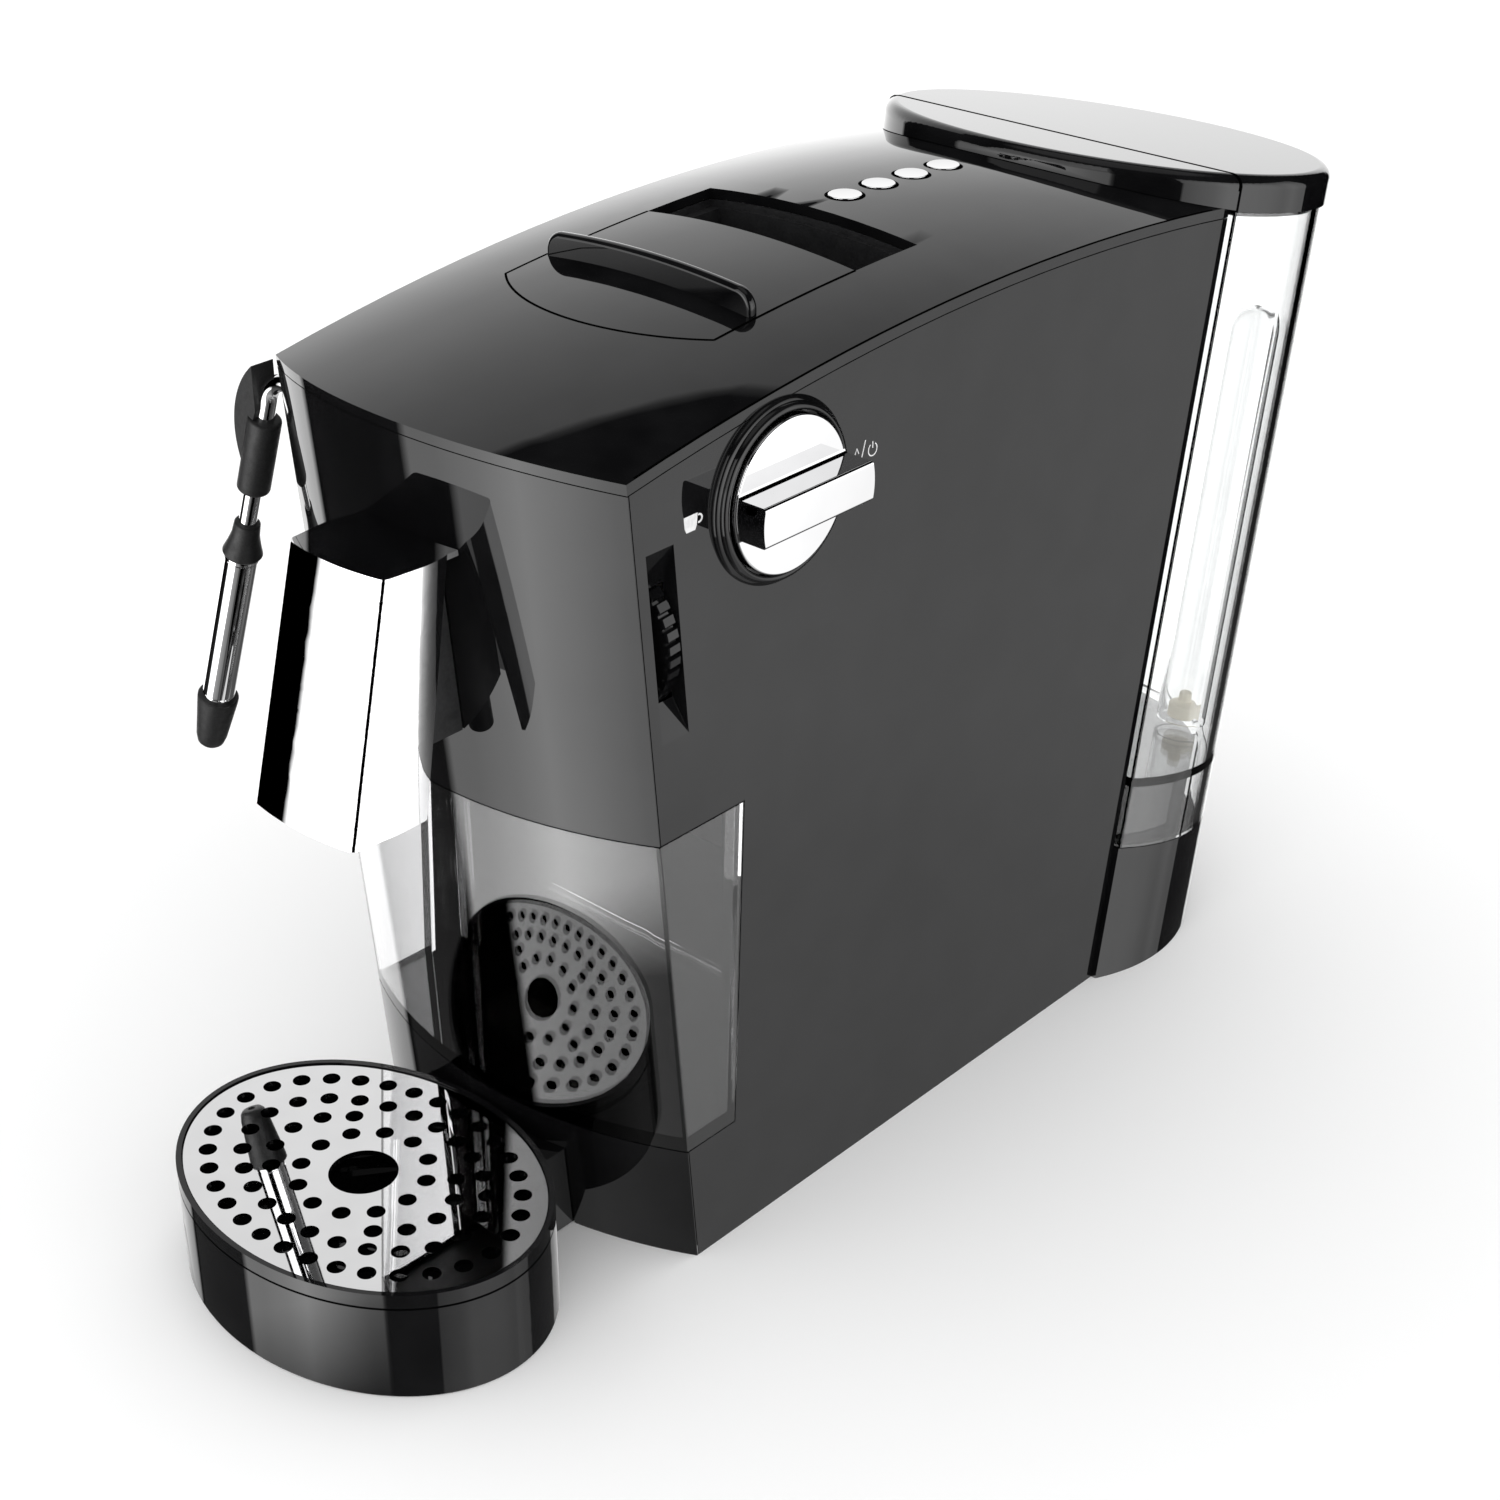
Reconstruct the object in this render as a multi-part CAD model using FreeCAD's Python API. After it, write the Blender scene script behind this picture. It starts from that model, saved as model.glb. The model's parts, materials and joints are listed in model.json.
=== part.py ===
import FreeCAD, Part
import math
import os
from FreeCAD import Vector

# Pod coffee machine, millimetres.
# Origin: middle of the housing's underside. +Z up, the front faces -Y, the selector knob is on +X.

# Housing form
body_width = 125.0
body_depth = 184.4        # side length at the floor
front_lean = 0.086        # forward run of the front face for each millimetre of height
rear_lean = 0.174         # backward run of the rear face
front_bow = 15.4          # how far the middle of the front stands ahead of its corners
arch_height = 250.0       # crest of the side's top edge
arch_radius = 808.0
arch_back = 125.2         # crest, behind the front corner at the floor
crown = 6.7               # rise of the top from its edge to its middle
wall = 2.5
cover_thick = 2.8
floor_thick = 3.0
seam = 0.3                # line between fixed shells
past = 1.0                # how far cutters run past a face
margin = 20.0             # how far large cutters run past the housing
run_gap = 0.4             # clearance around pieces that move
ledge_height = 37.0       # shelf that the capsule bin stands on
panel_drop = 113.4        # lower edge of the upper front panel, below the arch's crest

# Capsule bin
bin_side_depth = 13.9     # clear side strip, measured at the floor line
bin_side_lean = 0.04
bin_length = 116.2        # behind the front corner at the floor
bin_wall = 2.2
bin_floor = 4.0

# Slider and capsule chute in the top
slider_width = 73.4
slider_corner = 36.6      # lengths behind the front corner at the floor
slider_nose = 14.1        # forward bulge of the slider's front edge
slider_rear = 90.0
slot_rear = 115.3
slider_runner = 3.0
deck_gap = 2.5            # space under the slider for its runners
deck_thick = 2.5
deck_margin = 4.5
chute_wall = 2.0
chute_gap = 1.3           # brew unit to the chute's shaft
grip_back = 52.0
grip_height = 6.3
grip_thick = 3.2
grip_round = 5.5

# Buttons and control board
button_count = 4
button_start = 0.184      # first button, as a share of the way from the slot to the lid
button_share = 0.1858     # pitch of the row, as a share of the same way
button_fill = 0.367       # radius of a button, as a share of the pitch
button_proud = 0.4
button_travel = 1.0
flange_extra = 1.0
flange_thick = 1.2
stem_radius = 2.0
board_drop = 6.0          # below the arch's crest
board_thick = 1.6
board_half_width = 16.0
board_margin = 9.0
boss_radius = 3.0
switch_side = 6.0
switch_height = 4.0
plunger_radius = 1.7

# Selector knob on the right side
knob_back = 31.9          # behind the front corner at the floor
knob_drop = 31.6          # below the arch's crest
ring_radius = 24.2
ring_band = 3.3
ring_thick = 3.2
ring_step = 1.5           # height of the ring's lower step
ring_shoulder = 1.2       # width of that step
knob_gap = 0.5
knob_thick = 3.9
bar_depth = 9.0
bar_height = 10.6
shaft_radius = 3.0
shaft_fit = 0.05
switch_depth = 14.0
switch_half = 11.0

# Steam wheel in the right side
wheel_drop = 60.6         # below the arch's crest
wheel_radius = 24.0
wheel_width = 7.0
wheel_proud = 1.0         # rim beyond the side face
wheel_teeth = 40
tooth_depth = 1.6
pocket_start = 3.6        # behind the front corner
pocket_width = 9.5
pocket_below = 25.4       # from the wheel's axis
pocket_above = 28.1
pocket_depth = 1.9        # boss inside the panel
pocket_boss = 15.0        # boss behind the pocket's front edge
valve_half = 11.0
valve_length = 24.0
stem_end = 8.0
wheel_stem_radius = 3.0

# Spout
spout_drop = 39.1         # below the arch's crest
spout_height = 66.4
spout_top_half = 17.5
spout_bottom_half = 18.9
spout_top_ahead = 56.4    # ahead of the front corner at the floor
spout_bottom_ahead = 73.2
spout_top_side = 19.8     # depth of the side walls
spout_bottom_side = 22.8
spout_bow = 2.0
spout_flare = 0.1         # outward run of the side walls for each millimetre of their depth
spout_bend = 0.5          # share of the side walls that stays straight
spout_top_curl = 22.0     # degrees that the walls turn in behind it
spout_bottom_curl = 12.0
spout_round = 2.4
spout_wall = 1.5
neck_half = 8.0
neck_drop = 4.9           # below the spout's top
neck_height = 42.0
neck_inner = 20.0         # length behind the front panel
core_half = 11.0
core_height = 52.9
nozzle_radius = 4.5
nozzle_drop = 9.0
nozzle_spread = 6.0

# Steam wand on the left side
wand_behind = 6.05        # behind the front corner at its own height
wand_drop = 25.0          # below the arch's crest
wand_out = 12.2           # where the leg starts, beyond the side face
wand_radius = 2.5
wand_bore = 1.5
wand_bend = 9.0
wand_splay = 19.9         # outward lean of the leg, in degrees
bushing_radius = 4.0
bushing_length = 12.0
grip_start = 13.1         # distances along the leg, from its start
grip_end = 37.1
grip_radius = 4.6
collar_start = 48.8
collar_end = 60.0
collar_small = 3.6
collar_large = 5.6
collar_cup = 1.5          # depth that the sleeve goes into the collar and the tip
sleeve_end = 113.9
sleeve_radius = 4.7
tip_end = 133.1
tip_radius = 5.9
tip_small = 4.1
tab_top = (4.6, -2.0)     # finger tab: out from the wand's axis, down along its leg
tab_belly = (8.4, 11.5)
tab_root = (2.4, 28.0)
tab_notch = (0.3, 10.0)
tab_thick = 7.4

# Water tank unit, in axes that lean with the rear face
tank_half = 70.5
tank_depth = 60.0         # the other half axis of the oval
tank_centre = 25.2        # behind the rear face
tank_wall = 2.5
tank_gap = 0.6
dock_top = 45.7
dock_upstand = 20.0
dock_inset = 4.0
tank_floor = 3.0
lid_rise = 2.86           # above the housing's top at the rear face
lid_thick = 10.5
lid_overhang = 1.0
lid_round = 3.5
lid_plate = 2.5
lid_skirt = 1.6
lid_split = 0.7
valve_radius = 9.0
valve_bore = 4.0
seat_radius = 13.0
seat_depth = 25.0

# Drip tray and grate
tray_half = 58.5
tray_depth = 43.3
tray_gap = 5.3            # to the base at the floor
tray_top = 33.6
tray_lift = 0.3
tray_wall = 1.5
tray_floor = 2.5
tray_band = 4.2
tray_groove = 0.7
grate_thick = 1.6
grate_drop = 0.8
grate_ledge = 2.0
hole_radius = 2.5
centre_hole = 9.4
inner_ring = 17.6
inner_ring_count = 12
mid_ring_x = 29.2         # only its ends are bored, beyond the inner ring
mid_ring_y = 20.7
mid_ring_count = 18
outer_ring_x = (39.4, 49.8)
outer_ring_y = (26.4, 34.8)
outer_ring_count = (24, 32)
tongue_half = 27.0
tongue_top = 27.0
tongue_low = 0.6
tongue_reach = 22.0       # length inside the base
socket_wall = 2.0

# Inner frame and works
frame_gap = 2.0           # bin to bulkhead
shelf_gap = 2.0
drop_half = 22.0
brew_half = 28.0
brew_start = 44.2         # lengths behind the front corner at the floor
brew_height = 54.0
capsule_half = 19.0
capsule_start = 93.2
capsule_end = 112.2
brew_end = 117.2
brew_axis_drop = 38.9     # below the spout's top
head_radius = 12.0
head_length = 12.0
plate_radius = 15.0
plate_thick = 10.0
pipe_radius = 3.0
pipe_bend = 6.0
hose_bend = 4.0
heater_x = 8.0
heater_width = 40.0
heater_depth = 30.0
heater_height = 70.0
heater_drop = 22.0        # below the brew unit's axis
heater_standoff = 4.5
pump_x = -28.0
pump_radius = 12.0
pump_low = 12.0
pump_drop = 40.0          # below the heater's top
coil_half = 17.0
coil_rise = 30.0          # above the pump's foot
coil_drop = 32.0          # below its head
mount_radius = 19.0
mount_width = 8.0
meter_x = 28.0
meter_ahead = 5.0         # ahead of the heater's back
meter_radius = 13.0
meter_height = 18.0
foot_radius = 8.0
foot_thick = 2.0
foot_inset = 16.0
post_side = 9.0
post_height = 14.0
screw_radius = 1.5
screw_head = 3.0
inlet_radius = 6.0
inlet_bore = 3.5
inlet_z = 16.0
inlet_proud = 1.5

# Derived sizes
half = body_width / 2
front_floor = -body_depth / 2
rear_floor = body_depth / 2
inside = half - wall
arch_y = front_floor + arch_back
arch_axis = Vector(0, arch_y, arch_height - arch_radius)
crown_radius = (half**2 + crown**2) / (2 * crown)
crown_centre = arch_height + crown - crown_radius
bow_radius = (half**2 + front_bow**2) / (2 * front_bow)
low = -margin
tall = arch_height + 3 * margin
reach = 3 * body_depth
slider_half = slider_width / 2
slider_corner_y = front_floor + slider_corner
slider_rear_y = front_floor + slider_rear
slot_rear_y = front_floor + slot_rear
grip_y = front_floor + grip_back
bin_rear_y = front_floor + bin_length
panel_bottom = arch_height - panel_drop
board_top = arch_height - board_drop
knob_y = front_floor + knob_back
knob_z = arch_height - knob_drop
wheel_z = arch_height - wheel_drop
pocket_low = wheel_z - pocket_below
pocket_high = wheel_z + pocket_above
wand_z = arch_height - wand_drop
wand_y = front_floor - front_lean * wand_z + wand_behind
spout_top = arch_height - spout_drop
spout_bottom = spout_top - spout_height
spout_top_front = front_floor - spout_top_ahead
spout_bottom_front = front_floor - spout_bottom_ahead
neck_high = spout_top - neck_drop
neck_low = neck_high - neck_height
core_low = spout_top - core_height
tray_y = front_floor - front_bow - tray_gap - tray_depth
brew_front = front_floor + brew_start
capsule_front = front_floor + capsule_start
capsule_rear = front_floor + capsule_end
brew_rear = front_floor + brew_end
brew_axis_z = spout_top - brew_axis_drop
heater_high = brew_axis_z - heater_drop
heater_low = heater_high - heater_height
pump_high = heater_high - pump_drop
coil_low = pump_low + coil_rise
coil_high = pump_high - coil_drop
shelf_z = panel_bottom + shelf_gap
bulkhead_y = bin_rear_y + frame_gap
bay_y = bulkhead_y + wall
lean_angle = math.degrees(math.atan(rear_lean))
floor_w = dock_top + dock_upstand + seam
pump_y = bay_y + mount_radius
meter_y = bay_y + heater_standoff + heater_depth - meter_ahead
brew_low = shelf_z + wall
brew_high = brew_low + brew_height
chute_bottom = brew_high + chute_gap
grate_top = tray_top - grate_drop
wheel_x = half + wheel_proud - wheel_radius
wand_leg = math.radians(wand_splay)


def box(x0, x1, y0, y1, z0, z1):
    """Block between two corners."""
    return Part.makeBox(x1 - x0, y1 - y0, z1 - z0, Vector(x0, y0, z0))


def rod(start, end, radius):
    """Round bar between two points."""
    first = Vector(*start)
    run = Vector(*end) - first
    return Part.makeCylinder(radius, run.Length, first, run)


def face_of(corners):
    return Part.Face(Part.makePolygon(corners + corners[:1]))


def slab_x(outline, x0, x1):
    """Plate with a (y, z) outline, from x0 to x1."""
    return face_of([Vector(x0, y, z) for y, z in outline]).extrude(Vector(x1 - x0, 0, 0))


def leaning_prism(outline, z0, z1, lean):
    """Prism with an (x, y) outline at the floor, sheared along y as it rises."""
    corners = [Vector(x, y + lean * z0, z0) for x, y in outline]
    return face_of(corners).extrude(Vector(0, lean * (z1 - z0), z1 - z0))


def oval(half_x, half_y, centre_y, z0, z1):
    """Upright prism with an elliptical plan."""
    middle = Vector(0, centre_y, z0)
    if half_x >= half_y:
        curve = Part.Ellipse(middle + Vector(half_x, 0, 0), middle + Vector(0, half_y, 0), middle)
    else:
        curve = Part.Ellipse(middle + Vector(0, half_y, 0), middle + Vector(half_x, 0, 0), middle)
    return Part.Face(Part.Wire(curve.toShape())).extrude(Vector(0, 0, z1 - z0))


def join(first, *others):
    return first.multiFuse(list(others)).removeSplitter()


def bent_tube(points, radius, bend):
    """Round tube along straight runs that are joined by arcs."""
    points = [Vector(*p) for p in points]
    edges = []
    start = points[0]
    for before, corner, after in zip(points, points[1:], points[2:]):
        into = (corner - before).normalize()
        out = (after - corner).normalize()
        turn = into.getAngle(out)
        setback = bend * math.tan(turn / 2)
        first = corner - into * setback
        last = corner + out * setback
        inward = (out - into).normalize()
        centre = corner + inward * (bend / math.cos(turn / 2))
        middle = centre - inward * bend
        edges.append(Part.LineSegment(start, first).toShape())
        edges.append(Part.Arc(first, middle, last).toShape())
        start = last
    edges.append(Part.LineSegment(start, points[-1]).toShape())
    ring = Part.Wire(Part.makeCircle(radius, points[0], points[1] - points[0]))
    return Part.Wire(edges).makePipeShell([ring], True, False)


def bow_axis(z):
    return front_floor - front_bow + bow_radius - front_lean * z


def bow_front(x, z):
    """Front face of the housing at a given x and height."""
    return bow_axis(z) - math.sqrt(bow_radius**2 - x**2)


def rear_at(z):
    return rear_floor + rear_lean * z


def top_at(x, y):
    """Height of the crowned top."""
    reach_up = crown_centre - arch_axis.z + math.sqrt(crown_radius**2 - x**2)
    return arch_axis.z + math.sqrt(reach_up**2 - (y - arch_y)**2)


def front_form(inset):
    """Everything behind the bowed, leaning front face, set back by inset."""
    axis = Vector(0, -front_lean, 1)
    foot = Vector(0, bow_axis(low), low)
    bow = Part.makeCylinder(bow_radius - inset, (tall - low) * axis.Length, foot, axis)
    behind = box(-half - wall, half + wall, bow_axis(tall), reach, low, tall)
    return bow.fuse(behind)


def top_form(drop):
    """Everything under the crowned arch of the top, lowered by drop."""
    radius = crown_radius - drop
    edge = half + 2 * wall
    shoulder = crown_centre + math.sqrt(radius**2 - edge**2)
    bottom = 4 * low
    left = Vector(-edge, arch_y, shoulder)
    right = Vector(edge, arch_y, shoulder)
    right_foot = Vector(edge, arch_y, bottom)
    left_foot = Vector(-edge, arch_y, bottom)
    arc = Part.Arc(left, Vector(0, arch_y, crown_centre + radius), right).toShape()
    sides = Part.makePolygon([right, right_foot, left_foot, left]).Edges
    profile = Part.Face(Part.Wire([arc] + sides))
    sweep = 40.0
    profile.rotate(arch_axis, Vector(1, 0, 0), -sweep / 2)
    return profile.revolve(arch_axis, Vector(1, 0, 0), sweep)


def core(side_inset, front_inset, rear_inset, z0, z1):
    """Housing form between two heights, without its arched top."""
    outline = [(-reach, z0), (rear_at(z0) - rear_inset, z0), (rear_at(z1) - rear_inset, z1), (-reach, z1)]
    slab = slab_x(outline, side_inset - half, half - side_inset)
    return slab.common(front_form(front_inset))


def front_zone(shift):
    """The front of the housing, as far back as the mitres at its two corners."""
    depth = half / 2
    edge = front_floor + shift
    outline = [
        (-half - wall, edge - wall),
        (-half + depth, edge + depth),
        (half - depth, edge + depth),
        (half + wall, edge - wall),
        (half + wall, edge - reach),
        (-half - wall, edge - reach),
    ]
    return leaning_prism(outline, low, tall, -front_lean)


def strip_zone(shift, z0, z1):
    """Space ahead of the rear edge of the bin's clear side strips."""
    edge = front_floor + bin_side_depth + shift
    low_edge = edge + bin_side_lean * z0
    high_edge = edge + bin_side_lean * z1
    outline = [(-reach, z0), (low_edge, z0), (high_edge, z1), (-reach, z1)]
    return slab_x(outline, -half - wall, half + wall)


def lean_back(shape):
    """Tank axes to part axes: the origin goes to the rear face at the floor."""
    shape = shape.copy()
    shape.rotate(Vector(0, 0, 0), Vector(1, 0, 0), -lean_angle)
    shape.translate(Vector(0, rear_floor, 0))
    return shape


def tank_oval(inset, w0, w1):
    return oval(tank_half - inset, tank_depth - inset, tank_centre, w0, w1)


def behind_face(gap, w0, w1):
    """Space behind the rear face, in tank axes."""
    return box(-reach, reach, gap, reach, w0, w1)


lid_top = top_at(0, rear_at(arch_height)) / math.cos(math.radians(lean_angle)) + lid_rise
lid_bottom = lid_top - lid_thick
lid_edge = rear_floor + (tank_centre - tank_depth - lid_overhang) * math.cos(math.radians(lean_angle)) \
    + lid_top * math.sin(math.radians(lean_angle))
button_pitch = button_share * (lid_edge - slot_rear_y)
button_radius = button_fill * button_pitch
under_cover = top_form(cover_thick + seam)
outer = core(0, 0, 0, 0, tall).common(under_cover)
front_shell = outer.cut(front_form(wall)).common(front_zone(-seam / 2))
cover_shell = core(0, 0, 0, ledge_height, tall).common(top_form(0).cut(top_form(cover_thick)))


def side_of(sign):
    """Side panel: a flat plate with the bin's notch and two screw posts."""
    plate = outer.common(box(*sorted((sign * inside, sign * half)), -reach, reach, 0, tall))
    plate = plate.cut(front_zone(seam / 2))
    plate = plate.cut(strip_zone(0, ledge_height, panel_bottom))
    posts = []
    for y in screw_rows():
        x0, x1 = sorted((sign * inside, sign * (inside - post_side)))
        post = box(x0, x1, y - post_side / 2, y + post_side / 2, floor_thick, floor_thick + post_height)
        x = screw_x() * sign
        bore = rod((x, y, 0), (x, y, floor_thick + post_height / 2), screw_radius)
        posts.append(post.cut(bore))
    return join(plate, *posts)


def screw_x():
    return inside - post_side / 2


def screw_rows():
    return (bulkhead_y + 2 * post_side, rear_floor - post_side)


def pocket_edge(z):
    return front_floor - front_lean * z + pocket_start


def wheel_chord(x):
    """Half the height of the wheel at a given x."""
    return math.sqrt(wheel_radius**2 - (x - wheel_x)**2)


def wheel_pocket():
    """Tapered opening for the steam wheel, narrower inside than at the face."""
    inner_x = inside - pocket_depth
    opening = wheel_chord(inner_x) + 2 * run_gap
    sections = []
    for x, z0, z1, pinch in (
        (half + seam, pocket_low, pocket_high, 0),
        (inner_x, wheel_z - opening, wheel_z + opening, run_gap),
    ):
        corners = [
            Vector(x, pocket_edge(z0) + pinch, z0),
            Vector(x, pocket_edge(z0) + pocket_width - pinch, z0),
            Vector(x, pocket_edge(z1) + pocket_width - pinch, z1),
            Vector(x, pocket_edge(z1) + pinch, z1),
        ]
        sections.append(Part.makePolygon(corners + corners[:1]))
    return Part.makeLoft(sections, True, True)


def right_side_panel():
    panel = side_of(1)
    boss_start = pocket_edge(wheel_z)
    boss = box(inside - pocket_depth, inside, boss_start - pocket_width, boss_start + pocket_boss,
               pocket_low - wall, pocket_high + wall)
    boss = boss.common(front_form(wall + seam))
    panel = join(panel, boss).cut(wheel_pocket())
    shaft_hole = rod((inside - wall, knob_y, knob_z), (half + wall, knob_y, knob_z),
                     shaft_radius + shaft_fit)
    return panel.cut(shaft_hole)


def left_side_panel():
    hole = rod((-half - wall, wand_y, wand_z), (-inside + wall, wand_y, wand_z), bushing_radius)
    return side_of(-1).cut(hole)


def front_panel():
    panel = front_shell.common(box(-reach, reach, -reach, reach, panel_bottom, tall))
    return panel.cut(neck_block(seam))


def neck_block(grow):
    inner_end = bow_front(0, neck_high) + wall + neck_inner
    return box(-neck_half - grow, neck_half + grow, spout_top_front, inner_end,
               neck_low - grow, neck_high + grow)


def base_pan():
    """Floor, front skirt, bin shelf and the tray's socket, moulded in one."""
    width = inside - seam
    floor = core(wall + seam, 0, 0, 0, floor_thick)
    skirt = front_shell.common(box(-reach, reach, -reach, reach, 0, ledge_height))
    deck = box(-width, width, -reach, bulkhead_y - seam, ledge_height - wall, ledge_height)
    deck = deck.common(core(wall + seam, 0, 0, 0, tall))
    outer_half = tongue_half + run_gap + socket_wall
    socket_top = tongue_top + run_gap + socket_wall
    sleeve = box(-outer_half, outer_half, -reach, socket_end() + socket_wall, 0, socket_top)
    sleeve = sleeve.common(core(wall + seam, wall, 0, 0, tall))
    tongue_space = box(-tongue_half - run_gap, tongue_half + run_gap, -reach, socket_end(), -past,
                       tongue_top + run_gap)
    pan = join(floor, skirt, deck, sleeve).cut(tongue_space)
    for x, y in foot_places():
        pan = pan.cut(rod((x, y, -past), (x, y, foot_thick), foot_radius))
    for sign in (-1, 1):
        for y in screw_rows():
            x = sign * screw_x()
            pan = pan.cut(rod((x, y, -past), (x, y, floor_thick + past), screw_radius))
            pan = pan.cut(rod((x, y, -past), (x, y, floor_thick / 2), screw_head))
    return pan


def socket_end():
    return bow_front(0, 0) + tongue_reach


def foot_places():
    x = half - wall - seam - foot_inset
    rows = (socket_end() + 2 * foot_radius, rear_floor - 2 * foot_inset)
    return [(sx * x, y) for sx in (-1, 1) for y in rows]


def foot_pads():
    return Part.makeCompound([rod((x, y, 0), (x, y, foot_thick), foot_radius) for x, y in foot_places()])


def base_screws():
    """Countersunk screws through the floor into the side panels' posts."""
    screws = []
    for sign in (-1, 1):
        for y in screw_rows():
            x = sign * screw_x()
            shank = rod((x, y, floor_thick / 2), (x, y, floor_thick + post_height / 2), screw_radius)
            head = rod((x, y, floor_thick / 6), (x, y, floor_thick / 2), screw_head)
            screws.append(join(shank, head))
    return Part.makeCompound(screws)


def slider_outline(grow, rear_y):
    """Plan of the slider: straight sides and a bowed front edge."""
    edge = slider_half + grow
    left = Vector(-edge, slider_corner_y - grow, 0)
    right = Vector(edge, slider_corner_y - grow, 0)
    nose = Vector(0, slider_corner_y - slider_nose - grow, 0)
    rear_right = Vector(edge, rear_y, 0)
    rear_left = Vector(-edge, rear_y, 0)
    sides = Part.makePolygon([right, rear_right, rear_left, left]).Edges
    return Part.Face(Part.Wire([Part.Arc(left, nose, right).toShape()] + sides))


def column(face):
    return face.extrude(Vector(0, 0, tall))


def top_cover():
    cover = cover_shell.cut(column(slider_outline(run_gap, slot_rear_y)))
    for y in button_rows():
        cover = cover.cut(rod((0, y, board_top), (0, y, tall), button_radius + run_gap))
    under = top_form(cover_thick / 2)
    bosses = [rod((x, y, board_top), (x, y, tall), boss_radius).common(under) for x, y in board_corners()]
    return join(cover, *bosses)


def button_rows():
    first = slot_rear_y + button_start * (lid_edge - slot_rear_y)
    return [first + i * button_pitch for i in range(button_count)]


def board_ends():
    rows = button_rows()
    return rows[0] - board_margin, rows[-1] + board_margin


def board_corners():
    x = board_half_width - boss_radius
    front, rear = board_ends()
    return [(sx * x, y) for sx in (-1, 1) for y in (front + boss_radius, rear - boss_radius)]


def control_board():
    front, rear = board_ends()
    return box(-board_half_width, board_half_width, front, rear, board_top - board_thick, board_top)


def plunger_top():
    last = button_rows()[-1]
    return flange_bottom(last) - button_travel - 2 * run_gap


def flange_bottom(y):
    return top_at(0, y) - cover_thick - 2 * seam - flange_thick


def tact_switches():
    """One push switch on the board under each button."""
    switches = []
    side = switch_side / 2
    for y in button_rows():
        body = box(-side, side, y - side, y + side, board_top, board_top + switch_height)
        plunger = rod((0, y, board_top + switch_height), (0, y, plunger_top()), plunger_radius)
        switches.append(join(body, plunger))
    return Part.makeCompound(switches)


def button(y):
    """Round cap with a flange that keeps it under the cover, and a stem for its switch."""
    top = top_at(0, y) + button_proud
    base = flange_bottom(y)
    cap = rod((0, y, base), (0, y, top), button_radius)
    rim = [e for e in cap.Edges if abs(e.BoundBox.ZMin - top) < seam / 2]
    cap = cap.makeFillet(button_proud / 2, rim)
    flange = rod((0, y, base), (0, y, base + flange_thick), button_radius + flange_extra)
    stem = rod((0, y, plunger_top() + button_travel + run_gap), (0, y, top - button_proud), stem_radius)
    return join(cap, flange, stem)


def slider_plate():
    """Flush sliding door in the top, with two runners underneath."""
    plate = cover_shell.common(column(slider_outline(0, slider_rear_y)))
    layer = top_form(cover_thick).cut(top_form(cover_thick + deck_gap - run_gap))
    runners = []
    for sign in (-1, 1):
        x0, x1 = sorted((sign * slider_half, sign * (slider_half - slider_runner)))
        runners.append(layer.common(box(x0, x1, slider_corner_y, slider_rear_y, 0, tall)))
    return join(plate, *runners)


def slider_grip():
    """Upright finger fin across the slider, with rounded upper corners."""
    edge = slider_half - seam
    body = box(-edge, edge, grip_y - grip_thick / 2, grip_y + grip_thick / 2, arch_height / 2, tall)
    uprights = [e for e in body.Edges if e.BoundBox.ZLength > wall]
    body = body.makeFillet(grip_thick / 2 - seam, uprights)
    fin = body.common(top_form(-grip_height)).cut(top_form(0))
    corner_z = top_at(edge, grip_y) + grip_height - grip_round
    for sign in (-1, 1):
        x0, x1 = sorted((sign * (edge - grip_round), sign * (edge + wall)))
        corner = box(x0, x1, grip_y - grip_thick, grip_y + grip_thick, corner_z, tall)
        barrel = rod((sign * (edge - grip_round), grip_y - grip_thick, corner_z),
                     (sign * (edge - grip_round), grip_y + grip_thick, corner_z), grip_round)
        fin = fin.cut(corner.cut(barrel))
    return fin


def capsule_chute():
    """Deck that the slider runs on, hung under the cover, with the shaft for the capsule."""
    room = column(slider_outline(run_gap, slot_rear_y))
    block = column(slider_outline(deck_margin, slot_rear_y + deck_margin))
    under = top_form(cover_thick + seam)
    floor_top = top_form(cover_thick + deck_gap)
    floor_bottom = top_form(cover_thick + deck_gap + deck_thick)
    deck = block.common(under).cut(floor_bottom).cut(room.common(top_form(0)).cut(floor_top))
    shaft_half = slider_half - slider_runner - run_gap
    front = slider_rear_y + run_gap
    rear = slot_rear_y - run_gap
    shaft = box(-shaft_half - chute_wall, shaft_half + chute_wall, front - chute_wall, rear + chute_wall,
                chute_bottom, tall).common(floor_top)
    hollow = box(-shaft_half, shaft_half, front, rear, low, tall)
    return join(deck, shaft).cut(hollow)


def mode_knob():
    """Round face with a full-width bar to turn it by."""
    radius = ring_radius - ring_band - knob_gap
    base = half + knob_gap
    face = base + knob_thick
    disc = rod((base, knob_y, knob_z), (face, knob_y, knob_z), radius)
    bar = box(face - seam, face + bar_depth, knob_y - radius, knob_y + radius,
              knob_z - bar_height / 2, knob_z + bar_height / 2)
    bar = bar.common(rod((base, knob_y, knob_z), (face + 2 * bar_depth, knob_y, knob_z), radius))
    return join(disc, bar)


def knob_shaft():
    inner_end = inside - switch_depth + wall
    return rod((inner_end, knob_y, knob_z), (half + knob_gap, knob_y, knob_z), shaft_radius)


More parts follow.
